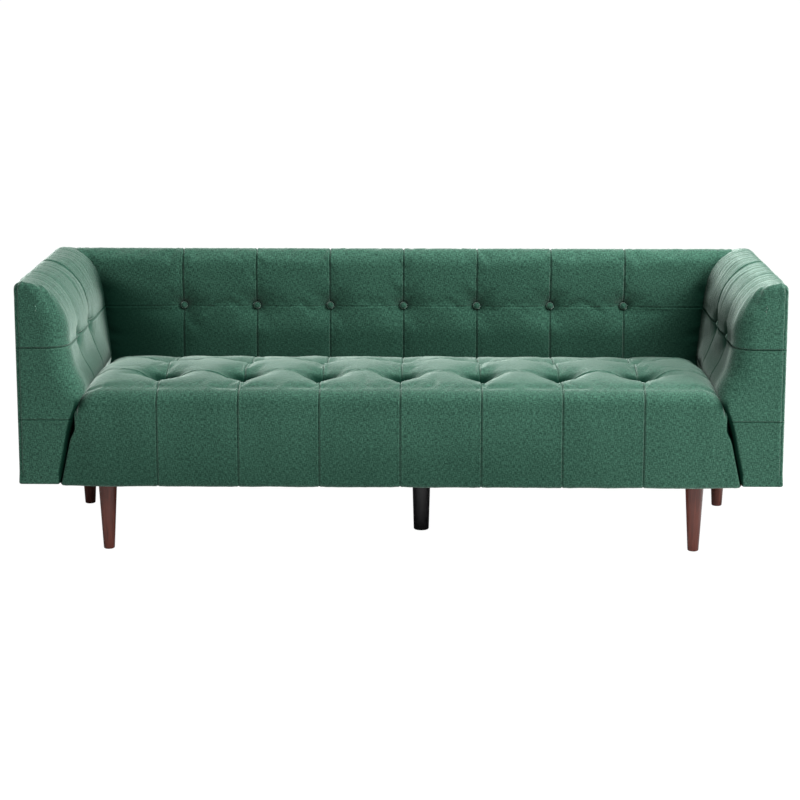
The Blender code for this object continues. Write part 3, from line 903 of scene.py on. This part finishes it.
class SOFA_OT_back(bpy.types.Operator):
    """Add the buttoned back, with its cover down over the rear panel"""

    bl_idname = "sofa.back"
    bl_label = "Back"

    def execute(self, context):
        sizes = context.scene.sofa_sizes
        profile, top_at, cover_end = back_profile()
        low = SLAB_BOTTOM + SHELL_GAP
        button_at = BUTTON_HEIGHT - low
        face = stations(0.0, top_at + 0.15, ROW_STEP, [button_at])
        rest = np.linspace(top_at + 0.15, cover_end, 40)[1:]
        hidden = np.linspace(cover_end, profile.total, 60)[1:-1]
        along = np.concatenate([face, rest, hidden])
        across = across_stations()
        points, outward, s, x = self.plain(profile, along, across)
        height, painted_shade = self.swell(points, s, top_at, button_at, sizes)
        height *= (s < cover_end - 0.01) * (points[..., 2] > UNDERSIDE + 0.01)
        coarse_s = np.linspace(0.0, top_at + 0.06, int(top_at / BACK_COARSE_STEP))
        coarse_x = np.linspace(-1.0, 1.0, BACK_COARSE_COLUMNS)
        moves = self.settled(profile, top_at, button_at, coarse_s, coarse_x, sizes)
        inside = s[:, 0] <= coarse_s[-1]
        points[inside] += read_moves(moves, (coarse_s, coarse_x), (s[inside, 0], across))
        points += outward * height[..., None]
        faces = close_ends(grid_faces(*s.shape, wrap_rows=True), *s.shape)
        piece = add_piece("back_upholstery", points, faces, velvet(), ["back_pad"], painted_shade)
        return {"FINISHED"}

    def plain(self, profile, along, across):
        """The back before padding: its section carried across to the arms, whose shape its ends follow."""
        s, x = np.meshgrid(along, across, indexing="ij")
        y, z = profile.at(s)
        rear_part = smooth(BACK_FACE + 0.12, BACK_FACE + 0.15, y)
        beside = np.maximum(arm_reach(np.minimum(z, BACK_TOP - 0.004)), joint_half(z))
        half = (beside + 0.005) * (1 - rear_part)
        half += rear_part * (HALF_WIDTH - 0.064)
        points = np.stack([spread(x, half), y, z], axis=-1)
        outward = normals_of(points, wrap_rows=along[-1] > 1.2)
        outward *= -np.sign(outward[len(along) // 8, len(across) // 2, 1])
        return points, outward, s, x

    def settled(self, profile, top_at, button_at, along, across, sizes):
        """How the cloth moves when it settles over the foam, held by its buttons, its seams and its edges."""
        points, outward, s, x = self.plain(profile, along, across)
        column = nearest(points[..., 0], COLUMNS)
        held = 0.25 * (np.abs(column) < 0.006) + 0.6 * smooth(top_at - 0.02, top_at + 0.01, s)
        held[[0, 1, -2, -1], :] = held[:, [0, -1]] = 1.0
        pull = np.zeros_like(s)
        for place in COLUMNS:
            distance = np.hypot(points[..., 0] - place, s - button_at)
            pull = np.maximum(pull, tuft(distance, sizes.back_tuft, 0.024))
            held = np.maximum(held, distance < 0.007)
        start = points - outward * pull[..., None]
        settled = settle(start, held, pressure=1.6, spare=0.012)
        return capped(settled - points, outward, most_out=0.007)

    def swell(self, points, s, top_at, button_at, sizes):
        """Height over the plain back: thin seams, and the last of each tuft close round its button. It also
        gives painted shade in the seams, round each button and in the lower corners.
        """
        px = points[..., 0]
        column = nearest(px, COLUMNS)
        on_face = 1 - smooth(top_at - 0.03, top_at + 0.02, s)
        front_and_top = 1 - smooth(top_at + 0.05, top_at + 0.09, s)
        height = np.zeros_like(s)
        # Painted shade in the seams and round each button, then the soft painted shade of the corners.
        painted_shade = 0.6 * bell(column, 0.0016) * front_and_top
        for place in COLUMNS:
            distance = np.hypot(px - place, s - button_at)
            height -= 0.009 * bell(distance, 0.016) * on_face
            painted_shade = np.maximum(painted_shade, 0.9 * bell(distance, 0.014))
        painted_shade = np.maximum(painted_shade, self.shade(px, points[..., 2]) * front_and_top)
        height -= 0.0015 * np.exp(-np.abs(column) / 0.010) * front_and_top
        height += 0.7 * seam(column) * front_and_top
        height += 0.3 * seam(s - button_at) * on_face
        return height, painted_shade

    def shade(self, x, z):
        """Soft shade in the lower corners, wider on the left and lower down, and just above the seat."""
        low = np.clip((0.66 - z) / 0.18, 0, 1)
        reach = (0.04 + 0.24 * low) * np.where(x > 0, 0.4, 1.0)
        corner = 0.78 * np.exp(-((np.clip(0.885 - np.abs(x), 0, None) / reach) ** 1.4))
        corner = corner * smooth(-0.70, -0.62, -z)
        above_seat = 0.20 * smooth(-0.54, -0.48, -z)
        return dimmed(np.maximum(corner, above_seat))


# Arms


def arm_section(side_heights):
    """The arm's section as two halves from the foot's middle to the top's middle, inner side and outer side.

    Both halves hold the same number of points, at the same heights up their sides.
    """
    foot, top = UNDERSIDE + SHELL_GAP, ARM_TOP
    outer_round, foot_round = 0.022, 0.006
    mid_top = HALF_WIDTH - outer_round
    split = top - ARM_ROUND
    inner_foot = joint_half(foot + foot_round) + 0.0015
    sides = side_heights[(side_heights > foot + foot_round + 0.002) & (side_heights < split - 0.002)]
    lower = np.concatenate([np.linspace(0, 0.78, 4), np.linspace(0.84, 1, 7)])
    mid_foot = HALF_WIDTH - 0.052
    tuck = smooth(0.398, 0.440, sides)
    inner_x = (1 - tuck) * (joint_half(sides) + 0.0015) + tuck * arm_reach(sides)
    level = foot + foot_round
    foot_in = arc((inner_foot + foot_round, level), foot_round, -90, -180, 6)
    foot_out = arc((HALF_WIDTH - foot_round, level), foot_round, -90, 0, 6)
    foot_in, foot_out = (Outline([(mid_foot, foot)] + turn) for turn in (foot_in, foot_out))
    rise = split + ARM_ROUND * np.sin(np.linspace(0, np.pi / 2, 24)[:-1])
    over_in = Outline([(float(arm_reach(h)), h) for h in rise] + [(mid_top, top)])
    over_out = arc((mid_top, top - outer_round), outer_round, 0, 90, 10)
    over_out = Outline([(HALF_WIDTH, split)] + over_out)
    top_share = np.linspace(0, 1, 40)
    halves = []
    for bottom, x_side, over in ((foot_in, inner_x, over_in), (foot_out, None, over_out)):
        bx, bz = bottom.at(lower * bottom.total)
        tx, tz = over.at(top_share * over.total)
        sx = np.full(len(sides), HALF_WIDTH) if x_side is None else x_side
        halves.append((np.concatenate([bx, sx, tx]), np.concatenate([bz, sides, tz])))
    return halves


class SOFA_OT_arms(bpy.types.Operator):
    """Add the two arms, with pleated tops, a seam grid and buttoned inner faces"""

    bl_idname = "sofa.arms"
    bl_label = "Arms"

    def execute(self, context):
        sizes = context.scene.sofa_sizes
        points, outward, along, around = self.plain(ROW_STEP, True)
        height, painted_shade = self.swell(points, outward, sizes)
        moves, *coarse = self.settled(sizes)
        points = points + read_moves(moves, coarse, (along, around))
        points = points + outward * height[..., None]
        most_proud = 0.004
        points[..., 0] = np.minimum(points[..., 0], HALF_WIDTH + most_proud)
        faces = grid_faces(*height.shape, wrap_columns=True)
        for side, word in SIDES:
            placed = points * np.array([side, 1, 1])
            # Painted shade on the inner face: on the right arm it reaches further from the back and shades
            # the whole lower face, as if lit from the right.
            reach, level = (0.06, 0.0) if side < 0 else (0.20, 0.55)
            dark = np.maximum(painted_shade, self.corner_shade(points, outward, reach, level))
            name, nodes = f"arm_upholstery_{word}", [f"arm_pad_{word}"]
            piece = add_piece(name, placed, faces, velvet(), nodes, dark)
        return {"FINISHED"}

    def settled(self, sizes):
        """How the cloth moves when it settles over the foam, held by its buttons, seams and outer side."""
        points, outward, along, around = self.plain(ARM_COARSE_STEP, False)
        x, y, z = points[..., 0], points[..., 1], points[..., 2]
        free = smooth(0.1, 0.5, np.maximum(-outward[..., 0], outward[..., 2])) * smooth(0.43, 0.48, z)
        free *= smooth(FRONT + 0.004, FRONT + 0.03, y) * (1 - smooth(BACK_FACE - 0.03, BACK_FACE, y))
        held = 1 - free
        held = np.maximum(held, 0.1 * (np.abs(z - BUTTON_HEIGHT) < 0.006))
        on_inner = smooth(0.15, 0.6, -outward[..., 0])
        pull = np.zeros_like(x)
        for place in ARM_BUTTON_Y:
            distance = np.hypot(y - place, z - BUTTON_HEIGHT)
            pull = np.maximum(pull, tuft(distance, sizes.arm_tuft, 0.020) * on_inner)
            held = np.maximum(held, (distance < 0.008) * on_inner)
        start = points - outward * pull[..., None]
        around = np.concatenate([around, [around[-1] * 2 - around[-2]]])
        settled = settle(start, held, pressure=1.4, spare=0.008)
        moves = capped(settled - points, outward, most_out=0.004, most_along=0.004)
        return np.concatenate([moves, moves[:, :1]], axis=1), along, around

    def plain(self, step, with_seams):
        """The right arm before padding: its section, ring by ring from front to rear.

        Each end is closed by a cap that runs in to a spine up the section's middle, with a rounded edge.
        It gives the points, their outward directions, and a place along and around for each row and column.
        """
        sizes = bpy.context.scene.sofa_sizes
        seams = [0.41, sizes.low_seam, BUTTON_HEIGHT] if with_seams else []
        heights = stations(UNDERSIDE, ARM_TOP - ARM_ROUND, step, seams)
        (ix, iz), (ox, oz) = arm_section(heights)
        inner, outer = np.stack([ix, iz], axis=-1), np.stack([ox, oz], axis=-1)
        ring = np.concatenate([inner, outer[-2:0:-1]])
        half = (inner + outer) / 2
        inside = np.flatnonzero((half[:, 1] > UNDERSIDE + 0.025) & (half[:, 1] < ARM_TOP - 0.085))
        half = half[np.clip(np.arange(len(half)), inside[0], inside[-1])]
        spine = np.concatenate([half, half[-2:0:-1]])
        tangent = np.roll(ring, -1, 0) - np.roll(ring, 1, 0)
        tangent /= np.maximum(np.linalg.norm(tangent, axis=1, keepdims=True), 1e-9)
        inward = np.stack([tangent[:, 1], -tangent[:, 0]], axis=-1)
        inward *= np.where(((spine - ring) * inward).sum(axis=1) < 0, -1, 1)[:, None]
        upright = smooth(UNDERSIDE + 0.02, UNDERSIDE + 0.03, ring[:, 1])
        upright *= 1 - smooth(0.56, 0.60, ring[:, 1])
        level = np.stack([np.sign(inward[:, 0]), np.zeros(len(ring))], axis=-1)
        inward = inward + upright[:, None] * (level - inward)
        is_inner = np.arange(len(ring)) < len(ix)
        soft = smooth(0.405, 0.47, ring[:, 1]) * is_inner
        near_outside = smooth(HALF_WIDTH - 0.130, HALF_WIDTH - 0.035, ring[:, 0])
        radius = 0.014 + soft * 0.050 * (1 - near_outside)
        radius = np.minimum(radius, 0.003 + 0.3 * (ring[:, 1] - UNDERSIDE))
        radius = np.minimum(radius, 0.9 * np.linalg.norm(ring - spine, axis=1))
        rings, depths = [], []
        inset = ring + inward * radius[:, None]
        cap, turn = 8, 12
        for share in np.linspace(0, 1, cap + 1)[:-1]:
            rings.append(spine + (inset - spine) * share)
            depths.append(np.zeros(len(ring)))
        for angle in np.radians(np.linspace(90, 0, turn)):
            rings.append(ring + inward * (radius * (1 - math.cos(angle)))[:, None])
            depths.append(radius * (1 - math.sin(angle)))
        ready, total, end_round = 0.085, REAR - FRONT, 0.010
        for share in np.linspace(0, 1, 5)[1:]:
            rings.append(ring)
            depths.append(radius + (ready - radius) * share)
        columns = [y - FRONT for y in ARM_BUTTON_Y] if with_seams else []
        for depth in stations(ready, total - end_round, step, columns)[1:]:
            rings.append(ring)
            depths.append(np.full(len(ring), depth))
        rear_radius = np.minimum(end_round, 0.8 * np.linalg.norm(ring - spine, axis=1) + 0.002)
        for angle in np.radians(np.linspace(0, 90, 7))[1:]:
            rings.append(ring + inward * (rear_radius * (1 - math.cos(angle)))[:, None])
            depths.append(np.full(len(ring), total - end_round + end_round * math.sin(angle)))
        inset = ring + inward * rear_radius[:, None]
        for share in np.linspace(1, 0, cap + 1)[1:]:
            rings.append(spine + (inset - spine) * share)
            depths.append(np.full(len(ring), total))
        rings, depths = np.stack(rings), np.stack(depths)
        x, z = rings[..., 0], rings[..., 1]
        y = FRONT + depths * (total - ARM_REAR_INSET) / total
        bulge = 0.024 * bell(z - 0.455, 0.045) * smooth(BACK_FACE + 0.05, -0.1, y)
        middle_x = HALF_WIDTH - 0.07
        x = x - bulge * np.clip((middle_x - x) / 0.06, 0, 1)
        groove = (1 - smooth(FRONT + 0.010, FRONT + 0.021, y)) * (1 - smooth(0.40, 0.43, z))
        x = x + 0.002 * groove * is_inner * np.clip((spine[:, 0] - 0.004 - x) / 0.02, 0, 1)
        points = np.stack([x, y, z - fall(y) * smooth(0.55, ARM_TOP, z)], axis=-1)
        outward = normals_of(points, wrap_columns=True)
        outward *= -np.sign(outward[len(points) // 2, len(ix) // 2, 0])
        outward[: cap + 1] = (0.0, -1.0, 0.0)
        outward[-cap - 1 :] = (0.0, 1.0, 0.0)
        inner_steps = np.hypot(np.diff(ix), np.diff(iz))
        outer_steps = np.hypot(np.diff(ox), np.diff(oz))[::-1]
        inner_run, outer_run = np.cumsum(inner_steps), np.cumsum(outer_steps)
        around = np.concatenate([[0.0], inner_run, inner_steps.sum() + outer_run[:-1]])
        first, last = np.arange(cap + turn) / (cap + turn), 1 + total + np.arange(1, cap + 1) / cap
        along = np.concatenate([first, 1 + depths[cap + turn : -cap, 0], last])
        return points, outward, along, around

    def swell(self, points, outward, sizes):
        """Height over the plain arm: tufts on the inner face, a seam grid, pleats over the top. It also gives
        painted shade in the seams, round the buttons and low at the front beside the seat.
        """
        x, y, z = points[..., 0], points[..., 1], points[..., 2]
        inner = np.clip(-outward[..., 0], 0, 1)
        front = np.clip(-outward[..., 1], 0, 1)
        above = np.clip(outward[..., 2], 0, 1)
        pillow_height, fold_depth, wave = 0.002, 0.0035, 0.0012
        on_inner = smooth(0.15, 0.6, inner)
        on_front = smooth(0.3, 0.8, front)
        on_top = smooth(0.05, 0.5, above) * (z > 0.6)
        column = nearest(y, ARM_BUTTON_Y)
        pillow = 1 - (1 - np.clip(np.abs(column) / 0.10, 0, 1)) ** 2.4
        height = pillow_height * pillow * on_inner * smooth(0.45, 0.55, z) * (1 - on_front)
        for number, place in enumerate(ARM_BUTTON_Y):
            distance = np.hypot(y - place, z - BUTTON_HEIGHT)
            height -= 0.5 * tuft(distance, sizes.arm_tuft, 0.018) * on_inner
            turn, seed = 0.9 * number + 0.4, 40 + number
            fold = puckers(y - place, z - BUTTON_HEIGHT, 0.060, fold_depth, 5, turn, seed)
            height += fold * on_inner
        faces = np.clip(on_inner + on_front, 0, 1)
        crossing = np.clip(on_inner + on_top, 0, 1) * smooth(0.42, 0.48, z)
        height -= 0.0008 * np.exp(-np.abs(column) / 0.010) * crossing
        height += 0.5 * seam(column) * crossing
        level = nearest(z, [BUTTON_HEIGHT])
        height += seam(level) * faces
        height -= 0.0016 * np.exp(-np.abs(level) / 0.010) * faces
        height += 0.7 * seam(nearest(z, [sizes.low_seam])) * on_front
        height += self.pleats(x, y, z, on_top, on_inner, on_front, sizes)
        height += wave * ripple(z + 0.4 * y, 21, (0.23, 0.14, 0.09)) * faces
        height += 0.7 * seam(x - OUTER_SEAM) * on_front
        # Painted shade in the seams, round each button, and in the gap beside the seat at the front.
        painted_shade = 0.5 * np.maximum(bell(column, 0.0017) * crossing, bell(level, 0.0017) * faces)
        painted_shade = np.maximum(painted_shade, 0.4 * bell(z - sizes.low_seam, 0.0017) * on_front)
        painted_shade = np.maximum(painted_shade, 0.3 * bell(x - OUTER_SEAM, 0.0017) * on_front)
        for place in ARM_BUTTON_Y:
            painted_shade = np.maximum(painted_shade, bell(np.hypot(y - place, z - BUTTON_HEIGHT), 0.014) * on_inner)
        joint = smooth(0.1, 0.5, -outward[..., 0]) * (1 - smooth(0.42, 0.45, z)) * (y < FRONT + 0.08)
        painted_shade = np.maximum(painted_shade, joint)
        return height * ((y < BACK_FACE) | (z > 0.6)) * smooth(UNDERSIDE, UNDERSIDE + 0.02, z), painted_shade

    def corner_shade(self, points, outward, reach, level):
        """Soft painted shade on the inner face: it grows towards the back cushion and towards the seat, and a
        level share shades the lower face behind the front.
        """
        y, z = points[..., 1], points[..., 2]
        inner = smooth(0.15, 0.7, -outward[..., 0]) * (z > 0.42)
        to_back = 0.8 * np.exp(-((np.clip(0.225 - y, 0, None) / reach) ** 1.3)) * smooth(-0.74, -0.64, -z)
        to_seat = 0.6 * np.exp(-np.clip(z - 0.44, 0, None) / 0.035) * smooth(FRONT + 0.02, FRONT + 0.15, y)
        overall = level * smooth(-0.73, -0.64, -z) * smooth(FRONT - 0.02, FRONT + 0.12, y)
        return dimmed(darkest(to_back, to_seat, overall)) * inner

    def pleats(self, x, y, z, on_top, on_inner, on_front, sizes):
        """Fine folds across the top that fade down the inner face, and gathers over the front's top edge."""
        upper = smooth(0.60, 0.72, z)
        drift = y + 0.10 * (HALF_WIDTH - x) * ripple(y, 3, (0.21, 0.13))
        folds = ripple(drift, 7, (0.029, 0.0205, 0.0155, 0.0125))
        mask = np.clip(on_top + on_inner, 0, 1) * upper * (1 - 0.6 * on_front)
        height = sizes.pleat_depth * folds * mask
        near_front = 1 - smooth(FRONT + 0.005, FRONT + 0.05, y)
        gathers = ripple(x + 0.3 * (z - ARM_TOP), 8, (0.024, 0.017, 0.012))
        at_edge = near_front * smooth(ARM_TOP - 0.06, ARM_TOP - 0.012, z)
        return height + 0.7 * sizes.pleat_depth * gathers * at_edge


# Buttons, legs and glides


def turned(profile, place, axis_x, axis_y, axis_z, sides):
    """A surface of revolution: each profile point swept round an axis at its radius, raised by its height."""
    around = np.linspace(0, 2 * np.pi, sides, endpoint=False)
    radius, height = np.array(profile, float).T
    ring = np.cos(around)[:, None] * np.array(axis_x) + np.sin(around)[:, None] * np.array(axis_y)
    raised = height[:, None, None] * np.array(axis_z)
    return np.array(place) + radius[:, None, None] * ring[None] + raised


def add_turned(name, points, finish, nodes):
    """Makes a piece of a surface of revolution's points, whose first and last rings are single points."""
    faces = grid_faces(*points.shape[:2], wrap_columns=True)
    return add_piece(name, points, faces, finish, nodes)


def on_upright(node, profile, sides):
    """A profile turned around the upright axis through the middle of a node's box, from the box's foot."""
    x, y, _ = middle(node)
    place = (x, y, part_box(node)[0][2])
    return turned(profile, place, (1, 0, 0), (0, 1, 0), (0, 0, 1), sides)


def button_points(place, normal, up):
    """A covered button: a dome with a rolled rim, its cloth gathered underneath."""
    radius = BUTTON_RADIUS
    dome = [(radius * math.sin(a), BUTTON_RISE * math.cos(a)) for a in np.linspace(0, 1.35, 9)]
    turns = ((1.0, 0.0004), (0.96, 0.002), (0.8, 0.0032), (0.3, 0.006), (0.0, 0.006))
    rim = [(radius * share, -down) for share, down in turns]
    across = np.cross(up, normal)
    across = across / np.linalg.norm(across)
    return turned(dome + rim, place, across, np.cross(normal, across), normal, 32)


class SOFA_OT_buttons(bpy.types.Operator):
    """Add the cloth-covered buttons of the back, arms and seat"""

    bl_idname = "sofa.buttons"
    bl_label = "Buttons"

    def execute(self, context):
        sizes = context.scene.sofa_sizes
        sunk = sizes.back_tuft - 0.007
        for number, x in enumerate(COLUMNS, 1):
            place = (x, BACK_FACE + sunk, BUTTON_HEIGHT)
            name, nodes = f"covered_back_button_{number}", [f"back_button_{number}"]
            self.add(name, place, (0, -1, 0), (0, 0, 1), nodes)
        lean = 0.12
        for side, word in SIDES:
            normal = (-side * math.cos(lean), 0, math.sin(lean))
            for number, y in enumerate(ARM_BUTTON_Y, 1):
                reach = float(arm_reach(np.array(BUTTON_HEIGHT))) + sizes.arm_tuft - 0.006
                name = f"covered_arm_button_{word}_{number}"
                place = (side * reach, y, BUTTON_HEIGHT)
                self.add(name, place, normal, (0, 1, 0), [f"arm_button_{word}_{number}"])
        for row, from_front in enumerate(sizes.seat_rows, 1):
            for number, x in enumerate(COLUMNS, 1):
                sunk = sizes.seat_tuft + 0.010 * row
                place = (x, FRONT + from_front, SEAT_TOP - sunk)
                self.add(f"seat_button_{row}_{number}", place, (0, 0, 1), (0, 1, 0), [])
        return {"FINISHED"}

    def add(self, name, place, normal, up, nodes):
        points = button_points(place, np.array(normal, float), np.array(up, float))
        add_turned(name, points, velvet(), nodes)


class SOFA_OT_legs(bpy.types.Operator):
    """Add the tapered turned legs and the glides under the arms"""

    bl_idname = "sofa.legs"
    bl_label = "Legs"

    def execute(self, context):
        colours = context.scene.sofa_colours
        mahogany = tuple(colours.mahogany)
        for name in ("leg_front_left", "leg_front_right", "leg_rear_left", "leg_rear_right"):
            self.leg(name, wood("mahogany", mahogany), "mahogany", 0.026, 0.015)
        self.leg("leg_middle", wood("black_wood", tuple(colours.black_wood)), "black_wood", 0.027, 0.0215)
        for end in ("front", "rear"):
            for _, word in SIDES:
                self.glide(f"glide_{end}_{word}")
        return {"FINISHED"}

    def leg(self, node, finish, slot, top_radius, foot_radius):
        """A straight taper from the top to a foot with a small rounded edge."""
        low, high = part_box(node)
        ease, length, flare = 0.0025, high[2] - low[2], top_radius - foot_radius
        taper = [(foot_radius + flare * t, length * t) for t in np.linspace(0.03, 0.985, 24)]
        foot = [(0, 0), (foot_radius - ease * 1.4, 0)]
        for a in (0.5, 0.9, 1.3):
            foot.append((foot_radius - ease * (1 - math.sin(a)) * 0.9, ease * (1 - math.cos(a))))
        head = [(top_radius - 0.0004, length - 0.0008), (top_radius - 0.0014, length), (0, length)]
        sides = bpy.context.scene.sofa_sizes.leg_sides
        points = on_upright(node, foot + taper + head, sides)
        add_turned(f"turned_{node}", points, finish, [node])

    def glide(self, node):
        """A low dome with a nail head in its middle."""
        low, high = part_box(node)
        radius, rise = (high[0] - low[0]) / 2, high[2] - low[2]
        dome = [(0, 0.0), (radius * 0.25, 0.0003), (radius * 0.3, 0.0012), (radius * 0.36, 0.0003)]
        for a in np.linspace(0.75, math.pi / 2, 8):
            dome.append((radius * math.sin(a), rise * 0.5 * (1 - math.cos(a))))
        dome += [(radius, rise * 0.9), (radius * 0.96, rise), (0, rise)]
        points = on_upright(node, dome, 40)
        add_turned(f"nail_on_{node}", points, black_plastic(), [node])


class SOFA_OT_frame_finishes(bpy.types.Operator):
    """Give the timber, boards, springs, hangers and dust cover their finishes"""

    bl_idname = "sofa.frame_finishes"
    bl_label = "Frame finishes"

    def execute(self, context):
        finishes = {"panel": hardboard(), "dust_cover": dust_cloth()}
        finishes |= dict.fromkeys(("zigzag", "hanger"), steel())
        finishes |= dict.fromkeys(("rail", "post", "stile", "block"), sawn_timber())
        for name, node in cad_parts.items():
            for word, finish in finishes.items():
                if word in name:
                    for place in node.material_slots:
                        place.material = finish
        return {"FINISHED"}


# Stage


def add_light(name, place, target, size, power):
    """A soft rectangular light at a place, turned to face a target."""
    data = bpy.data.lights.new(name, "AREA")
    data.shape = "RECTANGLE"
    data.size, data.size_y = size
    data.energy = power
    lamp = bpy.data.objects.new(name, data)
    lamp.location = place
    direction = np.array(target, float) - np.array(place, float)
    lamp.rotation_euler = Vector(direction).to_track_quat("-Z", "Y").to_euler()
    bpy.context.scene.collection.objects.link(lamp)


class SOFA_OT_stage(bpy.types.Operator):
    """Add the pale floor, the soft studio lights and the camera"""

    bl_idname = "sofa.stage"
    bl_label = "Stage"

    def execute(self, context):
        fill = 0.28
        self.floor(context.scene.sofa_colours)
        world = bpy.data.worlds.new("studio")
        world.use_nodes = True
        backdrop = world.node_tree.nodes["Background"]
        backdrop.inputs["Color"].default_value = (1.0, 1.0, 1.0, 1.0)
        rays = world.node_tree.nodes.new("ShaderNodeLightPath")
        level = world.node_tree.nodes.new("ShaderNodeMapRange")
        level.inputs["To Min"].default_value = fill
        level.inputs["To Max"].default_value = 1.0
        world.node_tree.links.new(rays.outputs["Is Camera Ray"], level.inputs["Value"])
        world.node_tree.links.new(level.outputs["Result"], backdrop.inputs["Strength"])
        context.scene.world = world
        context.scene.view_settings.view_transform = "Standard"
        add_light("key", (2.9, -1.3, 2.3), (-0.8, 0, 0.5), (1.2, 1.2), 105.0)
        add_light("top", (1.0, 0.1, 3.0), (0.2, 0.0, 0.4), (2.0, 1.0), 120.0)
        add_light("front", (0.9, -4.2, 3.9), (0, 0, 0.4), (2.5, 1.5), 140.0)
        self.camera(context)
        return {"FINISHED"}

    def floor(self, colours):
        """A wide square at the sofa's feet that looks white and takes its soft shadow."""
        size = 60.0
        corners = [(-size, -size, 0), (size, -size, 0), (size, size, 0), (-size, size, 0)]
        mesh = bpy.data.meshes.new("studio_floor")
        mesh.from_pydata(corners, [], [(0, 1, 2, 3)])
        obj = bpy.data.objects.new("studio_floor", mesh)
        bpy.context.scene.collection.objects.link(obj)
        plain = Shader("studio_floor")
        speck = plain.noise(plain.solid(60.0, 60.0, 60.0), 2.0)
        base = tuple(colours.floor)
        darker = tuple(c * 0.985 for c in base)
        plain.finish(Base_Color=plain.mix(speck, darker, base), Roughness=0.9)
        seen = plain.node("ShaderNodeLightPath", {}, {}, "Is Camera Ray")
        white, black = (1.0, 1.0, 1.0, 1.0), (0.0, 0.0, 0.0, 1.0)
        glow = {"Base_Color": black, "Emission_Color": white, "Emission_Strength": 1.08}
        mesh.materials.append(plain.blend(seen * 0.93, Specular_IOR_Level=0.0, **glow))

    def camera(self, context):
        """A long lens a little right of the middle, looking down by ten degrees."""
        away, height, aside = 5.3528, 1.6679, 0.0812
        down, turn = 0.1720, 0.0152
        data = bpy.data.cameras.new("camera")
        data.lens = 92.26
        data.shift_y = -0.1375
        camera = bpy.data.objects.new("camera", data)
        camera.location = (aside, FRONT - away, height)
        camera.rotation_euler = (math.pi / 2 - down, 0.0, turn)
        context.scene.collection.objects.link(camera)
        context.scene.camera = camera


class SOFA_PT_panel(bpy.types.Panel):
    """Lists the sofa's pieces in the order in which they are made"""

    bl_idname = "SOFA_PT_panel"
    bl_label = "Sofa"
    bl_space_type = "VIEW_3D"
    bl_region_type = "UI"
    bl_category = "Sofa"

    def draw(self, context):
        for operator in OPERATORS:
            self.layout.operator(operator.bl_idname)
        for group in (context.scene.sofa_sizes, context.scene.sofa_colours):
            for name in group.bl_rna.properties.keys():
                if name not in ("rna_type", "name"):
                    self.layout.prop(group, name)


OPERATORS = (
    SOFA_OT_seat,
    SOFA_OT_back,
    SOFA_OT_arms,
    SOFA_OT_buttons,
    SOFA_OT_legs,
    SOFA_OT_frame_finishes,
    SOFA_OT_stage,
)
CLASSES = (SofaSizes, SofaColours, *OPERATORS, SOFA_PT_panel)


def register():
    for item in CLASSES:
        bpy.utils.register_class(item)
    bpy.types.Scene.sofa_sizes = PointerProperty(type=SofaSizes)
    bpy.types.Scene.sofa_colours = PointerProperty(type=SofaColours)


def unregister():
    del bpy.types.Scene.sofa_colours
    del bpy.types.Scene.sofa_sizes
    for item in reversed(CLASSES):
        bpy.utils.unregister_class(item)


def main():
    register()
    bpy.ops.sofa.seat()
    bpy.ops.sofa.back()
    bpy.ops.sofa.arms()
    bpy.ops.sofa.buttons()
    bpy.ops.sofa.legs()
    bpy.ops.sofa.frame_finishes()
    bpy.ops.sofa.stage()


if __name__ == "__main__":
    main()
